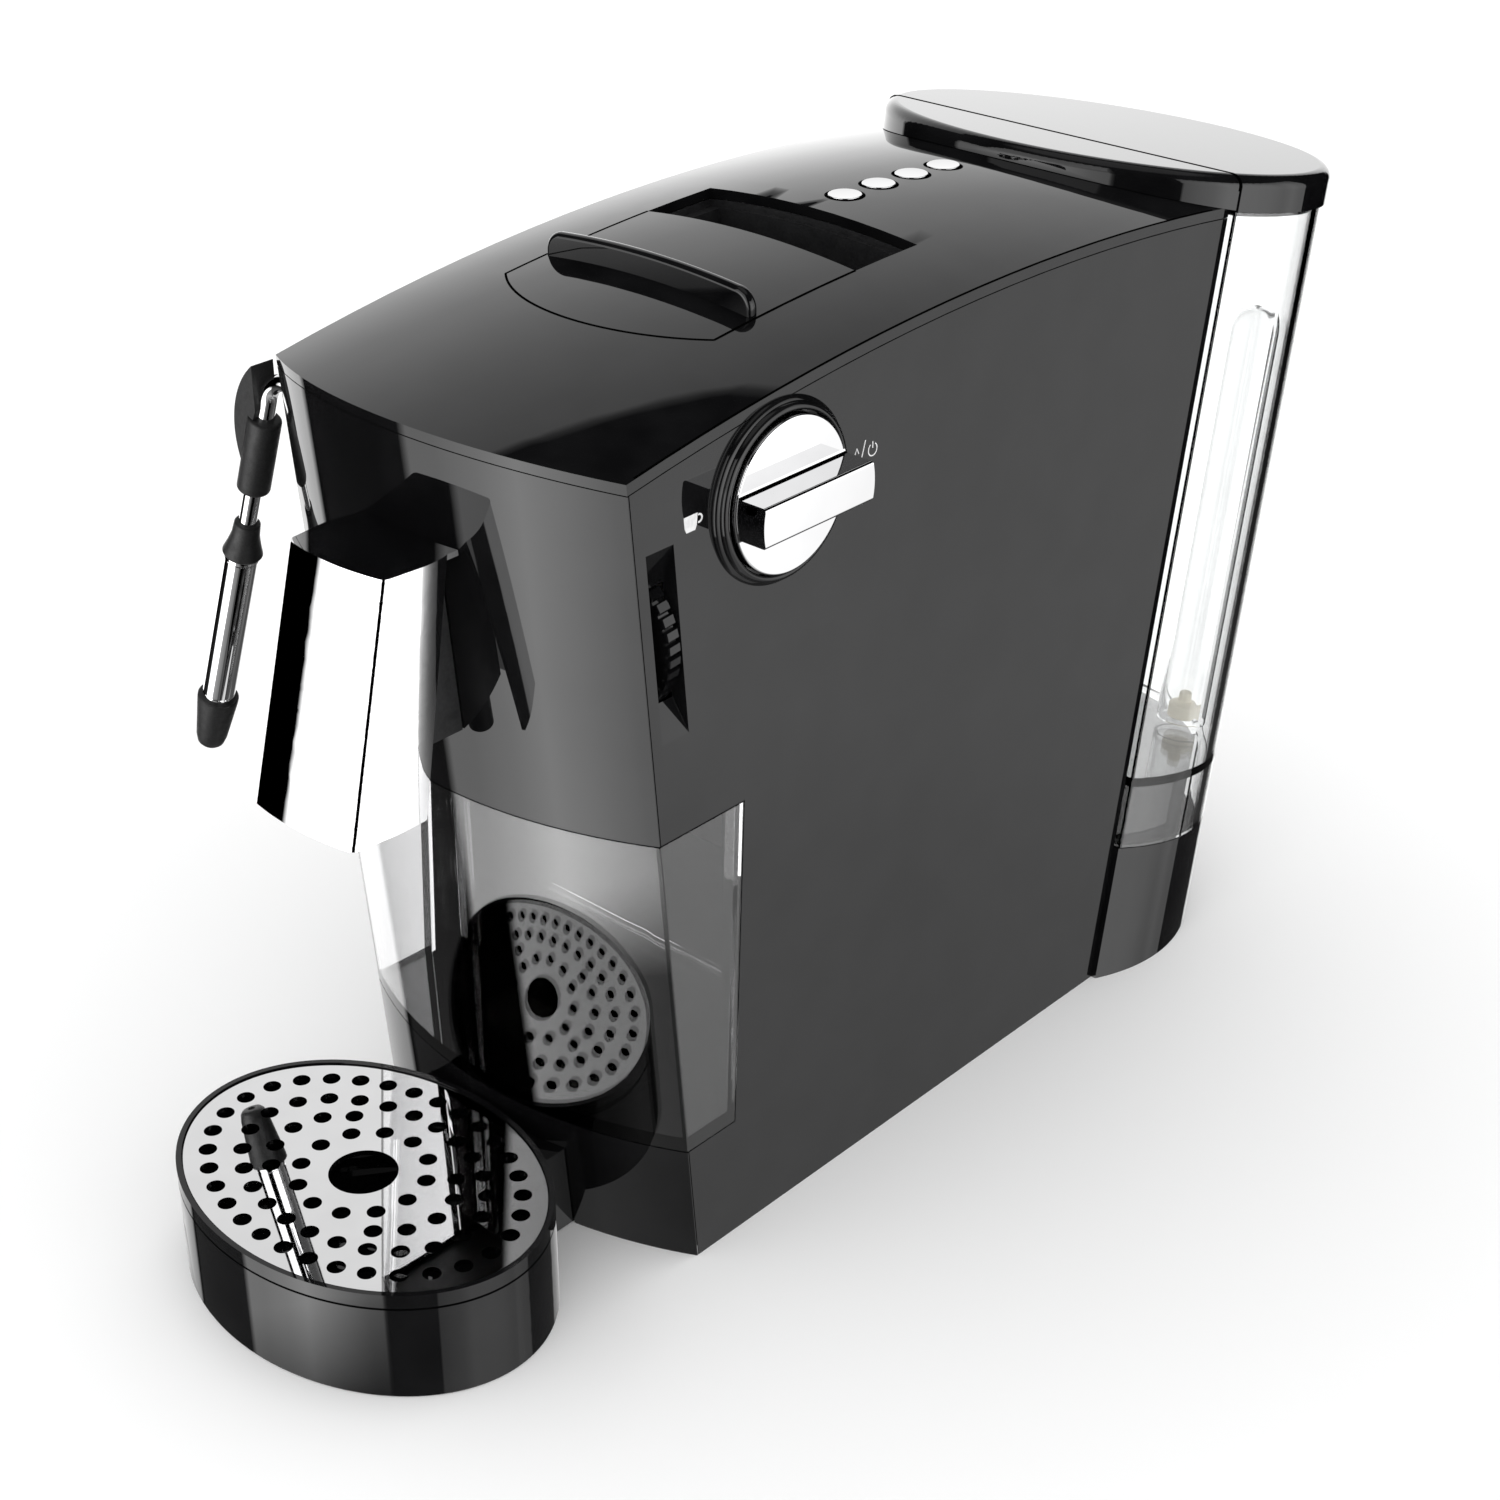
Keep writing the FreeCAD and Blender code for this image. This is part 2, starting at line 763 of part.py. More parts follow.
def knob_ring():
    """Ring round the knob in two steps, with rounded rims."""
    lower = rod((half, knob_y, knob_z), (half + ring_step, knob_y, knob_z), ring_radius)
    upper = rod((half, knob_y, knob_z), (half + ring_thick, knob_y, knob_z), ring_radius - ring_shoulder)
    ring = join(lower, upper)
    ring = ring.cut(rod((low, knob_y, knob_z), (reach, knob_y, knob_z), ring_radius - ring_band))
    rims = [e for e in ring.Edges if e.BoundBox.XLength < seam / 2 and e.BoundBox.XMin > half + seam]
    return ring.makeFillet(ring_shoulder / 3, rims)


def selector_switch():
    body = box(inside - switch_depth, inside, knob_y - switch_half, knob_y + switch_half,
               knob_z - switch_half, knob_z + switch_half)
    return body.cut(rod((low, knob_y, knob_z), (reach, knob_y, knob_z), shaft_radius + shaft_fit))


def wheel_y():
    return pocket_edge(wheel_z) + pocket_width / 2


def wheel_point(along):
    """A point on the steam wheel's axis, which is square to the leaning front edge."""
    length = math.hypot(1, front_lean)
    return (wheel_x, wheel_y() + along / length, wheel_z + along * front_lean / length)


def steam_wheel():
    """Toothed thumb wheel with its stem."""
    edge = wheel_width / 2
    rim = rod(wheel_point(-edge), wheel_point(edge), wheel_radius)
    bite = math.pi * wheel_radius / wheel_teeth
    gap = box(wheel_radius - tooth_depth, wheel_radius + tooth_depth, -wheel_width, wheel_width,
              -bite / 2, bite / 2)
    tilt = math.degrees(math.atan(front_lean))
    gaps = []
    for i in range(wheel_teeth):
        cutter = gap.copy()
        cutter.rotate(Vector(0, 0, 0), Vector(0, 1, 0), 360.0 * i / wheel_teeth)
        cutter.rotate(Vector(0, 0, 0), Vector(1, 0, 0), tilt)
        cutter.translate(Vector(*wheel_point(0)))
        gaps.append(cutter)
    rim = rim.cut(Part.makeCompound(gaps))
    stem = rod(wheel_point(-edge), wheel_point(edge + run_gap + stem_end), wheel_stem_radius)
    return join(rim, stem)


def steam_valve():
    """Valve body behind the wheel, on the inside of the right panel."""
    body = box(-valve_half, valve_half, 0, valve_length, -valve_half, valve_half)
    foot = box(0, inside - wheel_x, valve_length / 2, valve_length, -valve_half, valve_half)
    body = join(body, foot)
    body.rotate(Vector(0, 0, 0), Vector(1, 0, 0), math.degrees(math.atan(front_lean)))
    body.translate(Vector(*wheel_point(wheel_width / 2 + run_gap)))
    bore_end = wheel_point(wheel_width / 2 + 2 * run_gap + stem_end)
    bore = rod(wheel_point(0), bore_end, wheel_stem_radius + shaft_fit)
    return body.cut(bore)


def spout_section(z, width, front, side, curl):
    """Plan of the cover: a bowed front, and side walls that spread and then curl in."""
    bend = spout_bend * side
    turn = math.atan(spout_flare) - math.radians(curl) / 2
    run = (side - bend) / math.cos(turn)
    sag = run / 2 * math.tan(math.radians(curl) / 4)
    spread = width + spout_flare * bend
    ends = {}
    for sign in (-1, 1):
        corner = Vector(sign * width, front, z)
        knee = Vector(sign * spread, front + bend, z)
        middle = Vector(sign * (spread + run / 2 * math.sin(turn) + sag * math.cos(turn)),
                        front + bend + run / 2 * math.cos(turn) - sag * math.sin(turn), z)
        rear = Vector(sign * (spread + run * math.sin(turn)), front + side, z)
        ends[sign] = (corner, knee, middle, rear)
    left, left_knee, left_middle, left_rear = ends[-1]
    right, right_knee, right_middle, right_rear = ends[1]
    return Part.Wire([
        Part.Arc(left, Vector(0, front - spout_bow, z), right).toShape(),
        Part.makeLine(right, right_knee),
        Part.Arc(right_knee, right_middle, right_rear).toShape(),
        Part.makeLine(right_rear, left_rear),
        Part.Arc(left_rear, left_middle, left_knee).toShape(),
        Part.makeLine(left_knee, left),
    ])


def spout_cover():
    """Bright cover of the spout: three walls that spread downwards, and a flat top."""
    bottom = spout_section(spout_bottom, spout_bottom_half, spout_bottom_front, spout_bottom_side,
                           spout_bottom_curl)
    top = spout_section(spout_top, spout_top_half, spout_top_front, spout_top_side, spout_top_curl)
    solid = Part.makeLoft([bottom, top], True, True)
    corners = [e for e in solid.Edges
               if e.BoundBox.ZLength > spout_height / 2 and e.BoundBox.YMax < spout_top_front + seam]
    solid = solid.makeFillet(spout_round, corners)
    inner_bottom = spout_section(spout_bottom, spout_bottom_half - spout_wall,
                                 spout_bottom_front + spout_wall, spout_bottom_side, spout_bottom_curl)
    inner_top = spout_section(spout_top, spout_top_half - spout_wall,
                              spout_top_front + spout_wall, spout_top_side, spout_top_curl)
    hollow = Part.makeLoft([inner_bottom, inner_top], True, True)
    below_top = box(-reach, reach, -reach, reach, low, spout_top - spout_wall)
    shell = solid.cut(hollow.common(below_top))
    bridge = box(-spout_top_half, spout_top_half, spout_top_front + spout_top_side / 2, 0,
                 spout_top - spout_wall, spout_top)
    bridge = bridge.cut(front_form(-seam))
    return join(shell, bridge)


def spout_body():
    """Black core under the bright cover, with the neck that goes through the front panel."""
    front = spout_top_front + spout_wall + seam
    core_block = box(-core_half, core_half, front, 0, core_low, spout_top - spout_wall - seam)
    core_block = core_block.cut(front_form(-seam))
    pipe = rod((0, spout_bottom_front, brew_axis_z), (0, reach, brew_axis_z), pipe_radius + seam)
    pipe = pipe.common(box(-reach, reach, front + 2 * core_half, reach, low, tall))
    drop_y = front + core_half
    drop = rod((0, drop_y, core_low - past), (0, drop_y, brew_axis_z), pipe_radius)
    cross = rod((0, drop_y, brew_axis_z), (0, front + 2 * core_half, brew_axis_z), pipe_radius)
    return join(core_block, neck_block(0)).cut(join(pipe, drop, cross))


def coffee_nozzle():
    """Twin outlets under the spout's core."""
    y = spout_top_front + spout_wall + seam + core_half
    low_z = core_low - nozzle_drop
    bridge = box(-nozzle_spread, nozzle_spread, y - nozzle_radius, y + nozzle_radius,
                 core_low - wall, core_low)
    outlets = []
    bores = []
    for sign in (-1, 1):
        x = sign * nozzle_spread
        outlets.append(rod((x, y, low_z), (x, y, core_low), nozzle_radius))
        bores.append(rod((x, y, low_z - past), (x, y, core_low - wall), nozzle_radius / 2))
    return join(bridge, *outlets).cut(Part.makeCompound(bores))


def wand_at(along):
    """A point on the axis of the wand's leg, which leans out from the side."""
    return (-half - wand_out - along * math.sin(wand_leg), wand_y, wand_z - along * math.cos(wand_leg))


def wand_bar(radius):
    inner = (-inside + bushing_length - wall, wand_y, wand_z)
    return bent_tube([inner, wand_at(0), wand_at(tip_end - wall)], radius, wand_bend)


def wand_tube():
    return wand_bar(wand_radius).cut(wand_bar(wand_bore))


def around_wand(start, end, radius_start, radius_end):
    """Sleeve or cone on the wand's leg."""
    first = Vector(*wand_at(start))
    run = Vector(*wand_at(end)) - first
    if radius_start == radius_end:
        solid = Part.makeCylinder(radius_start, run.Length, first, run)
    else:
        solid = Part.makeCone(radius_start, radius_end, run.Length, first, run)
    return solid.cut(rod(wand_at(start - wall), wand_at(end + wall), wand_radius))


def wand_grip():
    return around_wand(grip_start, grip_end, grip_radius, grip_radius)


def sleeve_bar():
    return rod(wand_at(collar_end - collar_cup), wand_at(sleeve_end + collar_cup), sleeve_radius)


def wand_collar():
    return around_wand(collar_start, collar_end, collar_small, collar_large).cut(sleeve_bar())


def froth_sleeve():
    return sleeve_bar().cut(rod(wand_at(0), wand_at(tip_end), wand_radius))


def wand_tip():
    return around_wand(sleeve_end, tip_end, tip_radius, tip_small).cut(sleeve_bar())


def wand_tab():
    """Curved finger tab on the outer side of the grip, reaching up past its end."""
    x, y, z = wand_at(0)
    front = y - tab_thick / 2
    top, belly, root, notch = [Vector(x - out, front, z - down) for out, down in
                               (tab_top, tab_belly, tab_root, tab_notch)]
    edges = [Part.Arc(top, belly, root).toShape()] + Part.makePolygon([root, notch, top]).Edges
    tab = Part.Face(Part.Wire(edges)).extrude(Vector(0, tab_thick, 0))
    tab.rotate(Vector(x, y, z), Vector(0, 1, 0), wand_splay)
    return tab.cut(rod(wand_at(grip_start), wand_at(grip_end), grip_radius)).cut(wand_bar(wand_radius))


def wand_bushing():
    tube = rod((-half, wand_y, wand_z), (-inside + bushing_length, wand_y, wand_z), bushing_radius)
    return tube.cut(rod((-reach, wand_y, wand_z), (0, wand_y, wand_z), wand_radius + shaft_fit))


def capsule_bin():
    """Clear bin: a full-width front that shows, and a narrower box behind it."""
    z0 = ledge_height + run_gap
    z1 = panel_bottom - run_gap
    rear_half = inside - 2 * run_gap
    step = front_floor + bin_side_depth
    outside = core(0, 0, 0, z0, z1).common(strip_zone(-run_gap, z0, z1))
    tail = box(-rear_half, rear_half, step - bin_side_depth, bin_rear_y, z0, z1)
    room = core(bin_wall, bin_wall, 0, z0 + bin_floor, tall)
    room = room.common(strip_zone(-run_gap - bin_wall, z0, tall))
    tail_room = box(bin_wall - rear_half, rear_half - bin_wall, step - bin_side_depth,
                    bin_rear_y - bin_wall, z0 + bin_floor, tall)
    return join(outside, tail).cut(join(room, tail_room))


def tray_grow(inset, z0, z1):
    return oval(tray_half - inset, tray_depth - inset, tray_y, z0, z1)


def drip_tray():
    """Oval tray with a rim band and the tongue that plugs into the base."""
    body = tray_grow(0, tray_lift, tray_top)
    band_low = tray_top - tray_band
    groove = tray_grow(-past, band_low - tray_groove, band_low).cut(tray_grow(tray_groove, 0, tray_top))
    room = tray_grow(tray_wall + grate_ledge, tray_lift + tray_floor, tray_top)
    seat = tray_grow(tray_wall, grate_top - grate_thick, tall)
    tongue = box(-tongue_half, tongue_half, tray_y, socket_end() - run_gap, tongue_low, tongue_top)
    tongue = tongue.cut(tray_grow(tray_wall / 2, 0, tray_top))
    hollow = box(-tongue_half + tray_wall, tongue_half - tray_wall, tray_y,
                 socket_end() - run_gap - tray_wall, low, tongue_top - tray_wall)
    hollow = hollow.cut(tray_grow(-tray_wall, 0, tray_top))
    return join(body.cut(groove), tongue.cut(hollow)).cut(room).cut(seat)


def grate_holes():
    """Centres of the grate's drain holes, ring by ring."""
    places = even_steps(Part.makeCircle(inner_ring), inner_ring_count)
    middle = even_steps(oval_line(mid_ring_x, mid_ring_y), mid_ring_count)
    places += [(x, y) for x, y in middle if abs(x) > inner_ring]
    for half_x, half_y, count in zip(outer_ring_x, outer_ring_y, outer_ring_count):
        places += even_steps(oval_line(half_x, half_y), count)
    return places


def oval_line(half_x, half_y):
    return Part.Ellipse(Vector(half_x, 0, 0), Vector(0, half_y, 0), Vector(0, 0, 0)).toShape()


def even_steps(line, count):
    """Points at even distances round a closed line, as (x, y)."""
    return [(point.x, point.y) for point in line.discretize(Number=count + 1)[:-1]]


def tray_grate():
    plate = tray_grow(tray_wall + run_gap, grate_top - grate_thick, grate_top)
    cutters = [rod((0, tray_y, 0), (0, tray_y, tray_top), centre_hole)]
    for x, y in grate_holes():
        cutters.append(rod((x, tray_y + y, 0), (x, tray_y + y, tray_top), hole_radius))
    plate.translate(Vector(0, 0, seam))
    return plate.cut(Part.makeCompound(cutters))


def rear_wall():
    """Leaning back plate between the side panels, with a way through for the hose."""
    width = inside - seam
    plate = box(-width, width, -wall, 0, 0, tall)
    plate = lean_back(plate).common(outer)
    plate = plate.common(box(-reach, reach, -reach, reach, floor_thick + seam, tall))
    return plate.cut(rod((0, bay_y, hose_z()), (0, reach, hose_z()), pipe_radius + wall))


def hose_z():
    return meter_height


def tank_dock():
    """Black oval base behind the housing that carries the tank."""
    shell = tank_oval(0, low, dock_top).cut(tank_oval(wall, 4 * low, dock_top - wall))
    upstand = tank_oval(tank_wall + dock_inset, dock_top - wall, dock_top + dock_upstand)
    upstand = upstand.cut(tank_oval(tank_wall + dock_inset + wall, low, dock_top + dock_upstand - wall))
    lower = shell.common(behind_face(seam, 2 * low, tall))
    upper = upstand.common(behind_face(tank_gap + tank_wall + run_gap, low, tall))
    dock = lean_back(join(lower, upper))
    dock = dock.common(box(-reach, reach, -reach, reach, 0, tall))
    inlet = rod((0, rear_floor, inlet_z), (0, reach, inlet_z), inlet_radius)
    return dock.cut(lean_back(seat_plug())).cut(inlet)


def seat_plug():
    top = dock_top + dock_upstand
    return rod((0, tank_centre, top - seat_depth), (0, tank_centre, top), seat_radius)


def valve_seat():
    """Socket in the dock that opens the tank's valve."""
    top = dock_top + dock_upstand
    bore = rod((0, tank_centre, top - seat_depth / 2), (0, tank_centre, top + past),
               valve_radius + run_gap)
    outlet = rod((0, tank_centre, low), (0, tank_centre, top), pipe_radius - wall / 2)
    return lean_back(seat_plug().cut(bore).cut(outlet))


def power_inlet():
    """Grommet in the back of the dock for the mains lead."""
    back = rear_at(inlet_z) + (tank_centre + tank_depth) / math.cos(math.radians(lean_angle))
    body = rod((0, back - 2 * wall, inlet_z), (0, back + inlet_proud, inlet_z), inlet_radius)
    return body.cut(rod((0, 0, inlet_z), (0, reach, inlet_z), inlet_bore))


def water_tank():
    """Clear leaning tank with a flat front, a raised floor and a skirt round the dock."""
    solid = tank_oval(0, dock_top + seam, lid_bottom - seam).common(behind_face(tank_gap, low, tall))
    front = behind_face(tank_gap + tank_wall, low, tall)
    room = tank_oval(tank_wall, floor_w + tank_floor, tall).common(front)
    skirt = tank_oval(tank_wall, low, floor_w).common(front)
    hole = rod((0, tank_centre, low), (0, tank_centre, tall), valve_radius - valve_bore / 2)
    return lean_back(solid.cut(room).cut(skirt).cut(hole))


def tank_valve():
    """Spring valve in the tank's floor."""
    bottom = dock_top + dock_upstand - seat_depth / 2 + run_gap
    plug = rod((0, tank_centre, bottom), (0, tank_centre, floor_w), valve_radius)
    top = floor_w + 3 * tank_floor
    neck = rod((0, tank_centre, floor_w), (0, tank_centre, top), valve_radius - valve_bore / 2)
    cap = rod((0, tank_centre, floor_w + tank_floor), (0, tank_centre, top), valve_radius)
    bore = rod((0, tank_centre, low), (0, tank_centre, tall), valve_bore)
    return lean_back(join(plug, neck, cap).cut(bore))


def valve_spring():
    """Return spring in the valve's bore, as its outer sleeve."""
    bottom = dock_top + dock_upstand - seat_depth / 2 + run_gap
    sleeve = rod((0, tank_centre, bottom), (0, tank_centre, floor_w + 2 * tank_floor), valve_bore)
    return lean_back(sleeve.cut(rod((0, tank_centre, low), (0, tank_centre, tall), valve_bore / 2)))


def lid_slab():
    """Oval plate of the lid with a rounded upper edge, in tank axes."""
    slab = oval(tank_half + lid_overhang, tank_depth + lid_overhang, tank_centre, lid_bottom, lid_top)
    rim = [e for e in slab.Edges if abs(e.BoundBox.ZMin - lid_top) < seam / 2]
    return slab.makeFillet(lid_round, rim)


def tank_lid():
    """Rear part of the oval lid, hollow below, with a skirt inside the tank's mouth."""
    shell = lid_slab().common(behind_face(lid_split / 2, low, tall))
    hollow = oval(tank_half - tank_wall, tank_depth - tank_wall, tank_centre, low, lid_top - lid_plate)
    hollow = hollow.common(behind_face(tank_gap + 2 * tank_wall, low, tall))
    fit = tank_wall + run_gap
    skirt = tank_oval(fit, lid_bottom - lid_skirt, lid_top - lid_plate / 2)
    skirt = skirt.common(behind_face(tank_gap + fit, low, tall))
    skirt_room = tank_oval(fit + tank_wall, low, lid_top - lid_plate)
    skirt_room = skirt_room.common(behind_face(tank_gap + fit + tank_wall, low, tall))
    return lean_back(join(shell.cut(hollow), skirt.cut(skirt_room)))


def lid_front_cap():
    """Fixed front part of the oval lid, lying on the top cover."""
    cap = lid_slab().cut(behind_face(-lid_split / 2, low, tall))
    return lean_back(cap).cut(top_form(-seam / 2))


def inner_frame():
    """Bulkhead behind the bin and the shelf that carries the brew unit."""
    width = inside - seam
    bulkhead = box(-width, width, bulkhead_y, bay_y, floor_thick, brew_low)
    shelf = box(-width, width, -reach, bay_y, shelf_z, brew_low)
    shelf = shelf.common(core(wall + seam, wall + seam, 0, 0, tall))
    hole = box(-drop_half, drop_half, capsule_front - wall, capsule_rear + wall, 0, tall)
    studs = []
    for z in (heater_low + pipe_radius * 4, heater_high - pipe_radius * 8):
        x = heater_x + heater_width / 2
        studs.append(rod((x, bulkhead_y, z), (x, bay_y + heater_standoff, z), boss_radius))
    return join(bulkhead, shelf.cut(hole), *studs)


def brew_unit():
    """Brew group body: the capsule falls in from above and leaves through the floor."""
    body = box(-brew_half, brew_half, brew_front, brew_rear, brew_low, brew_high)
    shaft = box(-capsule_half, capsule_half, capsule_front, capsule_rear, 0, tall)
    head_bore = rod((0, capsule_rear - past, brew_axis_z), (0, reach, brew_axis_z), head_radius)
    plate_bore = rod((0, capsule_front - plate_thick, brew_axis_z), (0, capsule_front + past, brew_axis_z),
                     plate_radius)
    outlet = rod((0, -reach, brew_axis_z), (0, capsule_front, brew_axis_z), pipe_radius)
    return body.cut(join(shaft, head_bore, plate_bore, outlet))


def injection_head():
    return rod((0, capsule_rear, brew_axis_z), (0, capsule_rear + head_length, brew_axis_z), head_radius)


def extraction_plate():
    back = capsule_front - plate_thick
    plate = rod((0, back, brew_axis_z), (0, capsule_front, brew_axis_z), plate_radius)
    return plate.cut(rod((0, -reach, brew_axis_z), (0, capsule_front - wall, brew_axis_z), pipe_radius / 2))


def outlet_pipe():
    """Coffee pipe from the extraction plate to the spout."""
    start = bow_front(0, neck_high) + wall
    pipe = rod((0, start, brew_axis_z), (0, capsule_front - plate_thick, brew_axis_z), pipe_radius)
    return pipe.cut(rod((0, -reach, brew_axis_z), (0, reach, brew_axis_z), pipe_radius / 2))


def thermoblock():
    front = bay_y + heater_standoff
    block = box(heater_x, heater_x + heater_width, front, front + heater_depth, heater_low, heater_high)
    return block.makeChamfer(wall, [e for e in block.Edges if e.BoundBox.ZLength > heater_width])


def pump():
    """Upright vibration pump: plunger tube through a square coil."""
    tube = rod((pump_x, pump_y, pump_low), (pump_x, pump_y, pump_high), pump_radius)
    coil = box(pump_x - coil_half, pump_x + coil_half, pump_y - coil_half, pump_y + coil_half,
               coil_low, coil_high)
    return join(tube, coil)


def pump_mounts():
    """Rubber rings that hold the pump off the bulkhead."""
    rings = []
    for z in (coil_low - 2 * mount_width, coil_high + mount_width):
        ring = rod((pump_x, pump_y, z), (pump_x, pump_y, z + mount_width), mount_radius)
        rings.append(ring.cut(rod((pump_x, pump_y, 0), (pump_x, pump_y, tall), pump_radius)))
    return Part.makeCompound(rings)


def flow_meter():
    top = floor_thick + meter_height
    return rod((meter_x, meter_y, floor_thick), (meter_x, meter_y, top), meter_radius)


def suction_hose():
    """From the dock's valve seat to the flow meter."""
    tilt = math.radians(lean_angle)
    w = dock_top + dock_upstand - seat_depth
    start = (0, rear_floor + tank_centre * math.cos(tilt) + w * math.sin(tilt),
             w * math.cos(tilt) - tank_centre * math.sin(tilt))
    turn_z = hose_z()
    turn_y = start[1] - (start[2] - turn_z) * math.tan(tilt)
    points = [start, (0, turn_y, turn_z), (0, meter_y, turn_z), (meter_x - meter_radius, meter_y, turn_z)]
    return bent_tube(points, pipe_radius, pipe_bend)


def pump_hose():
    """From the flow meter to the foot of the pump."""
    z = floor_thick + pipe_radius + run_gap
    side = meter_x - math.sqrt(meter_radius**2 - (meter_y - pump_y)**2)
    points = [(side, pump_y, z), (pump_x, pump_y, z), (pump_x, pump_y, pump_low)]
    return bent_tube(points, pipe_radius, hose_bend).cut(flow_meter())


def pressure_hose():
    """From the head of the pump to the heater."""
    z = pump_high + 3 * pipe_bend
    points = [(pump_x, pump_y, pump_high), (pump_x, pump_y, z), (heater_x, pump_y, z)]
    return bent_tube(points, pipe_radius, pipe_bend)


def heater_mid_y():
    return bay_y + heater_standoff + heater_depth / 2


def brew_pipe():
    """Hot water from the heater to the back of the brew unit."""
    x = heater_x + heater_width / 3
    y = heater_mid_y()
    points = [(x, y, heater_high), (x, y, brew_axis_z), (x, brew_rear, brew_axis_z)]
    return bent_tube(points, pipe_radius, pipe_bend)


def steam_pipe():
    """Steam from the heater to the valve behind the wheel."""
    y = heater_mid_y()
    entry = wheel_point(wheel_width / 2 + run_gap + valve_length - wall)
    points = [(wheel_x, y, heater_high), (wheel_x, y, entry[2]), entry]
    return bent_tube(points, pipe_radius, pipe_bend).cut(steam_valve())


def wand_pipe():
    """Steam from the valve across to the wand's bushing."""
    y = wheel_point(wheel_width / 2 + run_gap)[1] + valve_length / 2
    points = [(wheel_x, y, wheel_z + valve_half), (wheel_x, y, wand_z), (wheel_x, wand_y, wand_z),
              (-inside + bushing_length, wand_y, wand_z)]
    return bent_tube(points, pipe_radius, pipe_bend).cut(steam_valve())


pieces = {
    "base_pan": base_pan,
    "foot_pads": foot_pads,
    "base_screws": base_screws,
    "right_side_panel": right_side_panel,
    "left_side_panel": left_side_panel,
    "front_panel": front_panel,
    "top_cover": top_cover,
    "rear_wall": rear_wall,
    "tank_dock": tank_dock,
    "valve_seat": valve_seat,
    "power_inlet": power_inlet,
    "lid_front_cap": lid_front_cap,
    "inner_frame": inner_frame,
    "capsule_chute": capsule_chute,
    "brew_unit": brew_unit,
    "injection_head": injection_head,
    "extraction_plate": extraction_plate,
    "outlet_pipe": outlet_pipe,
    "spout_body": spout_body,
    "spout_cover": spout_cover,
    "coffee_nozzle": coffee_nozzle,
    "control_board": control_board,
    "tact_switches": tact_switches,
    "knob_ring": knob_ring,
    "selector_switch": selector_switch,
    "steam_valve": steam_valve,
    "wand_bushing": wand_bushing,
    "thermoblock": thermoblock,
    "pump": pump,
    "pump_mounts": pump_mounts,
    "flow_meter": flow_meter,
    "suction_hose": suction_hose,
    "pump_hose": pump_hose,
    "pressure_hose": pressure_hose,
    "brew_pipe": brew_pipe,
    "steam_pipe": steam_pipe,
    "wand_pipe": wand_pipe,
    "slider_plate": slider_plate,
    "slider_grip": slider_grip,
    "mode_knob": mode_knob,
    "knob_shaft": knob_shaft,
    "steam_wheel": steam_wheel,
    "wand_tube": wand_tube,
    "wand_grip": wand_grip,
    "wand_collar": wand_collar,
    "froth_sleeve": froth_sleeve,
    "wand_tip": wand_tip,
    "wand_tab": wand_tab,
    "capsule_bin": capsule_bin,
    "drip_tray": drip_tray,
    "tray_grate": tray_grate,
    "water_tank": water_tank,
    "tank_valve": tank_valve,
    "valve_spring": valve_spring,
    "tank_lid": tank_lid,
}

os.makedirs("parts", exist_ok=True)
for name, make in pieces.items():
    make().exportStep("parts/" + name + ".step")
for number, y in enumerate(button_rows(), start=1):
    button(y).exportStep("parts/button_%d.step" % number)
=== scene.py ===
import json
import math

import bmesh
import bpy
from bpy.props import FloatProperty, FloatVectorProperty, IntProperty, PointerProperty
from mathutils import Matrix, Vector


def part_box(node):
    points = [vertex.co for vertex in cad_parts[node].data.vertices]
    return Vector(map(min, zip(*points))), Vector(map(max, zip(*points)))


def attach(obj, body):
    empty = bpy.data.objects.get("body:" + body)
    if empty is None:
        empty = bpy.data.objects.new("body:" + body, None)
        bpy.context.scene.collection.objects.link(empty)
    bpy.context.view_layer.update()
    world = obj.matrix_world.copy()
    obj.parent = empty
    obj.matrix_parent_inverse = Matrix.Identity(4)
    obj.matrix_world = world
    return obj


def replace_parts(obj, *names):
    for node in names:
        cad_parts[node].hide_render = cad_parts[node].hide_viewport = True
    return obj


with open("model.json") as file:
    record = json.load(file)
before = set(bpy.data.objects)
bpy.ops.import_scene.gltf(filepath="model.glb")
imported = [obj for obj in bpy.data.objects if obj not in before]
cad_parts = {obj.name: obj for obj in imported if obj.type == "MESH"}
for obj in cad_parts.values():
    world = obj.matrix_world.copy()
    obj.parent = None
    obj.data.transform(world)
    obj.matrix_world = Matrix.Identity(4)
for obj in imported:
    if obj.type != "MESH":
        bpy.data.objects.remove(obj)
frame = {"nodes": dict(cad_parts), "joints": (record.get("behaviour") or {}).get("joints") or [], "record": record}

bl_info = {
    "name": "Pod coffee machine",
    "version": (1, 0, 0),
    "blender": (4, 5, 0),
    "location": "View3D > Sidebar > Coffee machine",
    "description": "Finishes the solids of a pod coffee machine and sets it in a small studio",
    "category": "Object",
}

for spare in ("Cube", "Light", "Camera"):
    if spare in bpy.data.objects:
        bpy.data.objects.remove(bpy.data.objects[spare])
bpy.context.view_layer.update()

MM = 0.001
QUARTER = math.pi / 2
FULL_TURN = 360.0
HALF_TURN = 180.0
SHARP_ANGLE = math.radians(35)
ROUGH_BAND = (0.3, 0.7)       # part of the noise over which the roughness changes
COLOUR_BAND = (0.35, 0.65)    # and the colour
NODES = frame["nodes"]
TANK_AXIS = Vector((0.0, 0.1714, 0.9852))

# Crowned top of the housing, in millimetres
CROWN_RADIUS = 294.86
CROWN_REACH = 519.84      # from the arch's axis to the crown's axis
ARCH_Y = 33.0             # place of the arch's axis
ARCH_Z = -558.0

